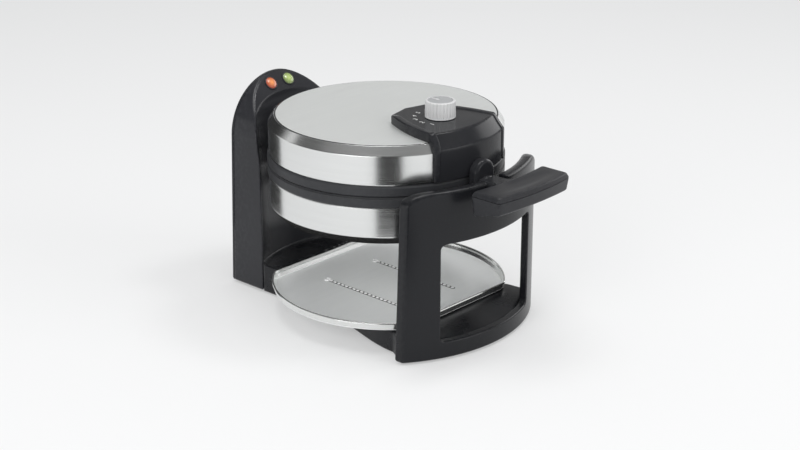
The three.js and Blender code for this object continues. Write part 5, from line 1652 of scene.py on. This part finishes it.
@dataclass
class BackFittings(Part):
    """The four screws of the back cover and the gland that the mains lead would pass through."""

    gland: tuple[float, float] = (34.0, 24.0)
    back: float = Tower.cover_back
    recess_half: float = 0.36
    recess_reach: float = 1.6
    recess_depth: float = 0.8

    def screw(self, x: float, z: float) -> Surface:
        """A pan head with a cross recess: the dome's height less a depth inside |x| or |y| < half width."""
        r = np.array([0, 0.15, 0.4, 0.7, 1.0, 1.3, 1.5, 1.7, 2.0, 2.4, 2.8, 3.0, 3.0, 0.0])[:, None]
        px, pz = np.moveaxis(r[..., None] * circle(around(40)), -1, 0)
        dome = 1.5 - 0.07 * r ** 2
        dome[-2:] = 0.0
        cross = (np.minimum(np.abs(px), np.abs(pz)) < self.recess_half) & (r < self.recess_reach) & (dome > 0)
        height = np.where(cross, dome - self.recess_depth, dome)
        return Surface(joined(px + x, height + self.back - 1.55, pz + z))

    def build(self) -> None:
        """Makes the screws and the gland."""
        for corner in ("lower_left", "lower_right", "upper_left", "upper_right"):
            low, high = node_box(f"back_screw_{corner}")
            x, _, z = (low + high) / 2
            shank = bar(1.3, low[1], self.back - 1.4, (x, 0, z), "y", 0.3, 20)
            self.shop.piece(f"cover_screw_{corner}", [self.screw(x, z), shank], ZINC, "base",
                            f"back_screw_{corner}")
        front, rear = (corner[1] for corner in node_box("cord_gland"))
        x, z = self.gland
        gland = lathed([[3.4, front], [6.0, front], [6.0, self.back + 0.3], [7.8, self.back + 0.3], [7.8, rear],
                        [3.4, rear]], [0.3, 0.3, 0.1, 0.1, 0.5, 0.4], 4, 64, (x, 0, z), "y", closed=True)
        self.shop.piece("lead_gland", gland, RUBBER, "base", "cord_gland")


@dataclass
class DripTray(Part):
    """The round tray with flat front and rear edges, a rolled rim and two rows of pressed dashes."""

    radius: float = 114.2
    centre_y: float = -3.0
    flat: float = 93.0
    corner: float = 14.0
    under: float = 22.2
    rim: float = 31.0
    floor: float = 23.5
    row_x: float = 33.9
    row_rear: float = 46.0
    row_front: float = -56.0
    dash_pitch: float = 5.2
    dash_half: tuple[float, float] = (1.3, 2.1)
    slot_half: float = 2.1

    def outline(self) -> Array:
        """A circle of the tray's radius cut by two flats, its four corners rounded to the same arc."""
        c = self.corner
        cx = math.sqrt((self.radius - c) ** 2 - (self.flat - c) ** 2)
        tangent = math.degrees(math.atan2(self.flat - c, cx))
        quarter = np.vstack([arc((0, 0), self.radius, 0, tangent, 40),
                             arc((cx, self.flat - c), c, tangent, 90, 16)])
        half = np.vstack([quarter, mirrored(quarter)])
        return resampled(np.vstack([half, half[::-1] * np.array([1, -1])]), 400)

    def dish(self) -> Surface:
        """A profile of (inset, height) carried along the outline: foot, wall, rolled rim, wall and floor."""
        u, t, f, fill = self.under, self.rim, self.floor, 24
        profile = filleted([
            [14.0, u], [9.0, u], [2.2, u + 1.0], [0.9, t - 3.4], [0.1, t - 1.2], [0.6, t], [2.0, t - 0.1],
            [2.6, t - 1.4], [3.0, t - 3.2], [4.6, f + 0.5], [8.5, f], [14.0, f]],
            [0, 3, 2.0, 0.8, 0.5, 0.55, 0.5, 0.8, 1.5, 1.5, 2, 0], closed=False)
        path = anticlockwise(self.outline())
        rings = path + inward(path) * profile[:, 0][:, None, None]
        under, over = (to_centre(ring, (0, 0), fill) for ring in (rings[0], rings[-1]))
        x, y = np.moveaxis(np.concatenate([under[::-1], rings, over]), -1, 0)
        height = np.pad(profile[:, 1], fill, mode="edge")[:, None]
        return Surface(joined(x, y + self.centre_y, height))

    def grooves(self) -> list[Surface]:
        """A thin dark sheet under each row of ridges, just above the tray's floor: painted shade standing in
        for the shadow in the pressed slot.
        """
        return [box((x - self.slot_half, x + self.slot_half), (self.row_front - 3.0, self.row_rear + 2.0),
                    (self.floor - 0.4, self.floor + 0.06), 2.0, 0.05) for x in (-self.row_x, self.row_x)]

    def dashes(self) -> list[Surface]:
        """Two rows of small pressed ridges, each half an ellipsoid, and an eyelet at each row's rear end."""
        rise, turn = np.radians(np.linspace(-20, 90, 6))[:, None], around(18)
        wide, long = self.dash_half
        half = joined(np.cos(rise) * np.cos(turn) * wide, np.cos(rise) * np.sin(turn) * long, np.sin(rise))
        ridge = Surface(np.concatenate([half[:1] * np.array([0, 0, 1]), half]))
        eyelet = turned(arc((2.6, 0.4), 1.0, 0, 360, 12)[:-1], 36)
        found = []
        for x in (-self.row_x, self.row_x):
            found += [ridge.moved(x, y, self.floor)
                      for y in np.arange(self.row_front, self.row_rear - 3.0, self.dash_pitch)]
            found.append(eyelet.moved(x, self.row_rear + 1.5, self.floor))
        return found

    def build(self) -> None:
        """Makes the dark slot sheets, which paint the shade in the slots, the ridges, painted lighter than the
        sheet as a highlight, and the tray with its brighter rim.
        """
        # Dark sheets in the slots: painted shade.
        self.shop.piece("tray_slot_shade_sheets", self.grooves(), SLOT_SHADE, "tray")
        # The ridges wear a lighter steel than the sheet: painted highlight.
        self.shop.piece("tray_ridges", self.dashes(), LIT_BEAD, "tray")
        tray = self.shop.piece("tray_dish", self.dish(), TRAY, "tray", "drip_tray", sharp=45)
        self.shop.repaint(tray, lambda face: face[:, 2] > self.floor + 1.6, RIM)


# ---------------------------------------------------------------------------------------------------
# Studio
# ---------------------------------------------------------------------------------------------------

def aimed(obj: bpy.types.Object, place: Sequence[float], target: Sequence[float]) -> None:
    """Stands an object at a drawing point, facing another."""
    start, end = (Vector((x, y + ROW_SHIFT, z)) * MM for x, y, z in (place, target))
    obj.location = start
    obj.rotation_euler = (end - start).to_track_quat("-Z", "Y").to_euler()


def shown_to_eye(n: Nodes) -> Socket:
    """1 for camera, glossy and transmission rays, and 0 for light that falls on things."""
    path = n.add("ShaderNodeLightPath").outputs
    seen = n.math("MAXIMUM", path["Is Camera Ray"], path["Is Glossy Ray"])
    return n.math("MAXIMUM", seen, path["Is Transmission Ray"])


@dataclass
class Studio:
    """Pale floor, soft lamps, cards that only reflections see, and the camera at the photograph's angle.

    A card has its ends in degrees round the head, counted from +X to +Y, its two edges' distances from
    the head's middle, their heights, and its brightness, where 1 is white. A lamp has its place, its
    aim, its width and height in metres, and its power in watts.
    """

    camera_place: tuple[float, float, float] = (-1131.31, -1064.33, 670.19)
    target: tuple[float, float, float] = (19.386, 0.0, 78.405)
    focal_pixels: float = 1714.04
    frame_width: float = 800.0
    sensor: float = 36.0
    backdrop: Colour = (0.835, 0.835, 0.835)
    world_tone: Colour = (0.62, 0.63, 0.64)
    world_strength: float = 0.84
    plain_share: float = 0.4
    floor_half: float = 6000.0
    under: float = AXIS_HEIGHT - 54
    cards: tuple[tuple, ...] = (
        ("dark_card_front", (-145.0, -124.0), (380, 380), (1, 420), 0.03),
        ("dark_card_low", (-127.0, -116.0), (380, 380), (1, 50), 0.12),
        ("dark_card_rear", (82.0, 117.0), (335, 335), (1, 420), 0.03),
        ("dark_collar_left", (-240.0, -140.0), (1500, 1500), (450, 1500), 0.12),
        ("dim_collar", (-140.0, 110.0), (1500, 1500), (450, 1500), 0.33),
        ("dark_collar", (-240.0, 110.0), (1500, 1500), (1500, 3600), 0.24),
        ("dark_card_right", (24.0, 62.0), (330, 330), (1, 106), 0.05),
        ("dark_card_under", (-250.0, 110.0), (88, 116), (under, under), 0.02),
        ("bright_strip", (-34.0, 10.0), (1100, 1100), (320, 760), 2.9))
    lamps: tuple[tuple, ...] = (
        ("overhead_softbox", (-150, 100, 2600), (0, 0, 100), (1.3, 1.3), 21.0),
        ("edge_softbox", (640, -540, 1800), (0, 0, 150), (0.4, 0.4), 6.3),
        ("left_softbox", (-2300, -600, 1100), (0, 0, 120), (1.8, 1.8), 34.0),
        ("right_softbox", (800, -2300, 900), (0, 0, 120), (1.4, 1.8), 20.0))

    def camera(self) -> None:
        """Sets the camera: its lens in millimetres is focal pixels / frame width * sensor width."""
        data = bpy.data.cameras.new("photo_camera")
        data.lens = self.focal_pixels / self.frame_width * self.sensor
        data.sensor_width = self.sensor
        data.sensor_fit = "HORIZONTAL"
        data.clip_start, data.clip_end = 0.01, 50
        camera = placed("photo_camera", data)
        aimed(camera, self.camera_place, self.target)
        bpy.context.scene.camera = camera

    def world(self) -> None:
        """A plain pale surround that the eye sees, and a softer one that lights the object."""
        world = bpy.data.worlds.new("studio_surround")
        n = emptied(world)
        lighting = n.add("ShaderNodeBackground", {"Color": self.world_tone, "Strength": self.world_strength})
        seen = n.add("ShaderNodeBackground", {"Color": self.backdrop, "Strength": 1.0})
        both = n.add("ShaderNodeMixShader", {0: shown_to_eye(n), 1: lighting.outputs[0], 2: seen.outputs[0]})
        n.add("ShaderNodeOutputWorld", {"Surface": both.outputs[0]})
        bpy.context.scene.world = world

    def sheet(self, name: str, points: Array, material: str, lit: Colour | None, plain: Colour
              ) -> bpy.types.Object:
        """A staged sheet that glows plainly, or takes light and only glows in part where it is seen.

        Args:
            name: The sheet's name.
            points: Its corner points in rows, in the drawing frame.
            material: Its material's name.
            lit: Its colour where light falls on it, or nothing for a plain glow.
            plain: The colour of its glow.

        Returns:
            The sheet.
        """
        surface = Surface(points, wrap_columns=False)
        mesh = bpy.data.meshes.new(name)
        mesh.from_pydata(in_row(surface.points.reshape(-1, 3)).tolist(), [], surface.quads().tolist())
        sheet = placed(name, mesh)
        look = bpy.data.materials.new(material)
        n = emptied(look)
        shown = n.add("ShaderNodeEmission", {"Color": plain, "Strength": 1.0}).outputs[0]
        if lit:
            dull = n.add("ShaderNodeBsdfDiffuse", {"Color": lit}).outputs[0]
            share = n.math("MULTIPLY", shown_to_eye(n), self.plain_share)
            shown = n.add("ShaderNodeMixShader", {0: share, 1: dull, 2: shown}).outputs[0]
        n.add("ShaderNodeOutputMaterial", {"Surface": shown})
        mesh.materials.append(look)
        return sheet

    def build(self) -> None:
        """Sets up the camera, the surround, the floor, the cards and the lamps."""
        self.camera()
        self.world()
        corner = self.floor_half * np.array([[[-1, -1, 0], [1, -1, 0]], [[-1, 1, 0], [1, 1, 0]]])
        self.sheet("studio_floor", corner, "floor_paper", self.backdrop, self.backdrop)
        for name, bearings, distances, heights, tone in self.cards:
            ring = circle(np.radians(np.linspace(*bearings, 25)))
            points = np.stack([joined(*(ring * d).T, h) for d, h in zip(distances, heights)])
            card = self.sheet(name, points, name, None, (tone, tone, tone))
            card.visible_camera = card.visible_diffuse = card.visible_shadow = card.visible_transmission = False
        for name, place, target, size, watts in self.lamps:
            data = bpy.data.lights.new(name, "AREA")
            data.shape = "RECTANGLE"
            data.size, data.size_y = size
            data.energy = watts
            aimed(placed(name, data), place, target)
        bpy.context.scene.view_settings.view_transform = "Standard"


def main() -> None:
    """Builds the studio and then the waffle maker group by group."""
    logging.basicConfig(level=logging.INFO, format="%(name)s: %(message)s")
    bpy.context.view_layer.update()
    shop = Workshop(Effects())
    Studio().build()
    for part in (Head(shop), ControlCover(shop), ControlKnob(shop), Arms(shop), Grip(shop), Hinge(shop),
                 TurningShaft(shop), Tower(shop),
                 Indicator(shop, "power", "lens_red", -11.7, (0.3, 0.06, 0.03), (0.72, 0.27, 0.09)),
                 Indicator(shop, "ready", "lens_green", 11.7, (0.15, 0.2, 0.07), (0.4, 0.5, 0.17)),
                 Stand(shop), Base(shop), BackFittings(shop), DripTray(shop)):
        part.build()
    shop.dress(CERAMIC, "thermostat")
    shop.dress(ZINC, "thermostat_shaft")
    LOG.info("%d finishes in use", len(shop.materials))


if __name__ == "__main__":
    main()
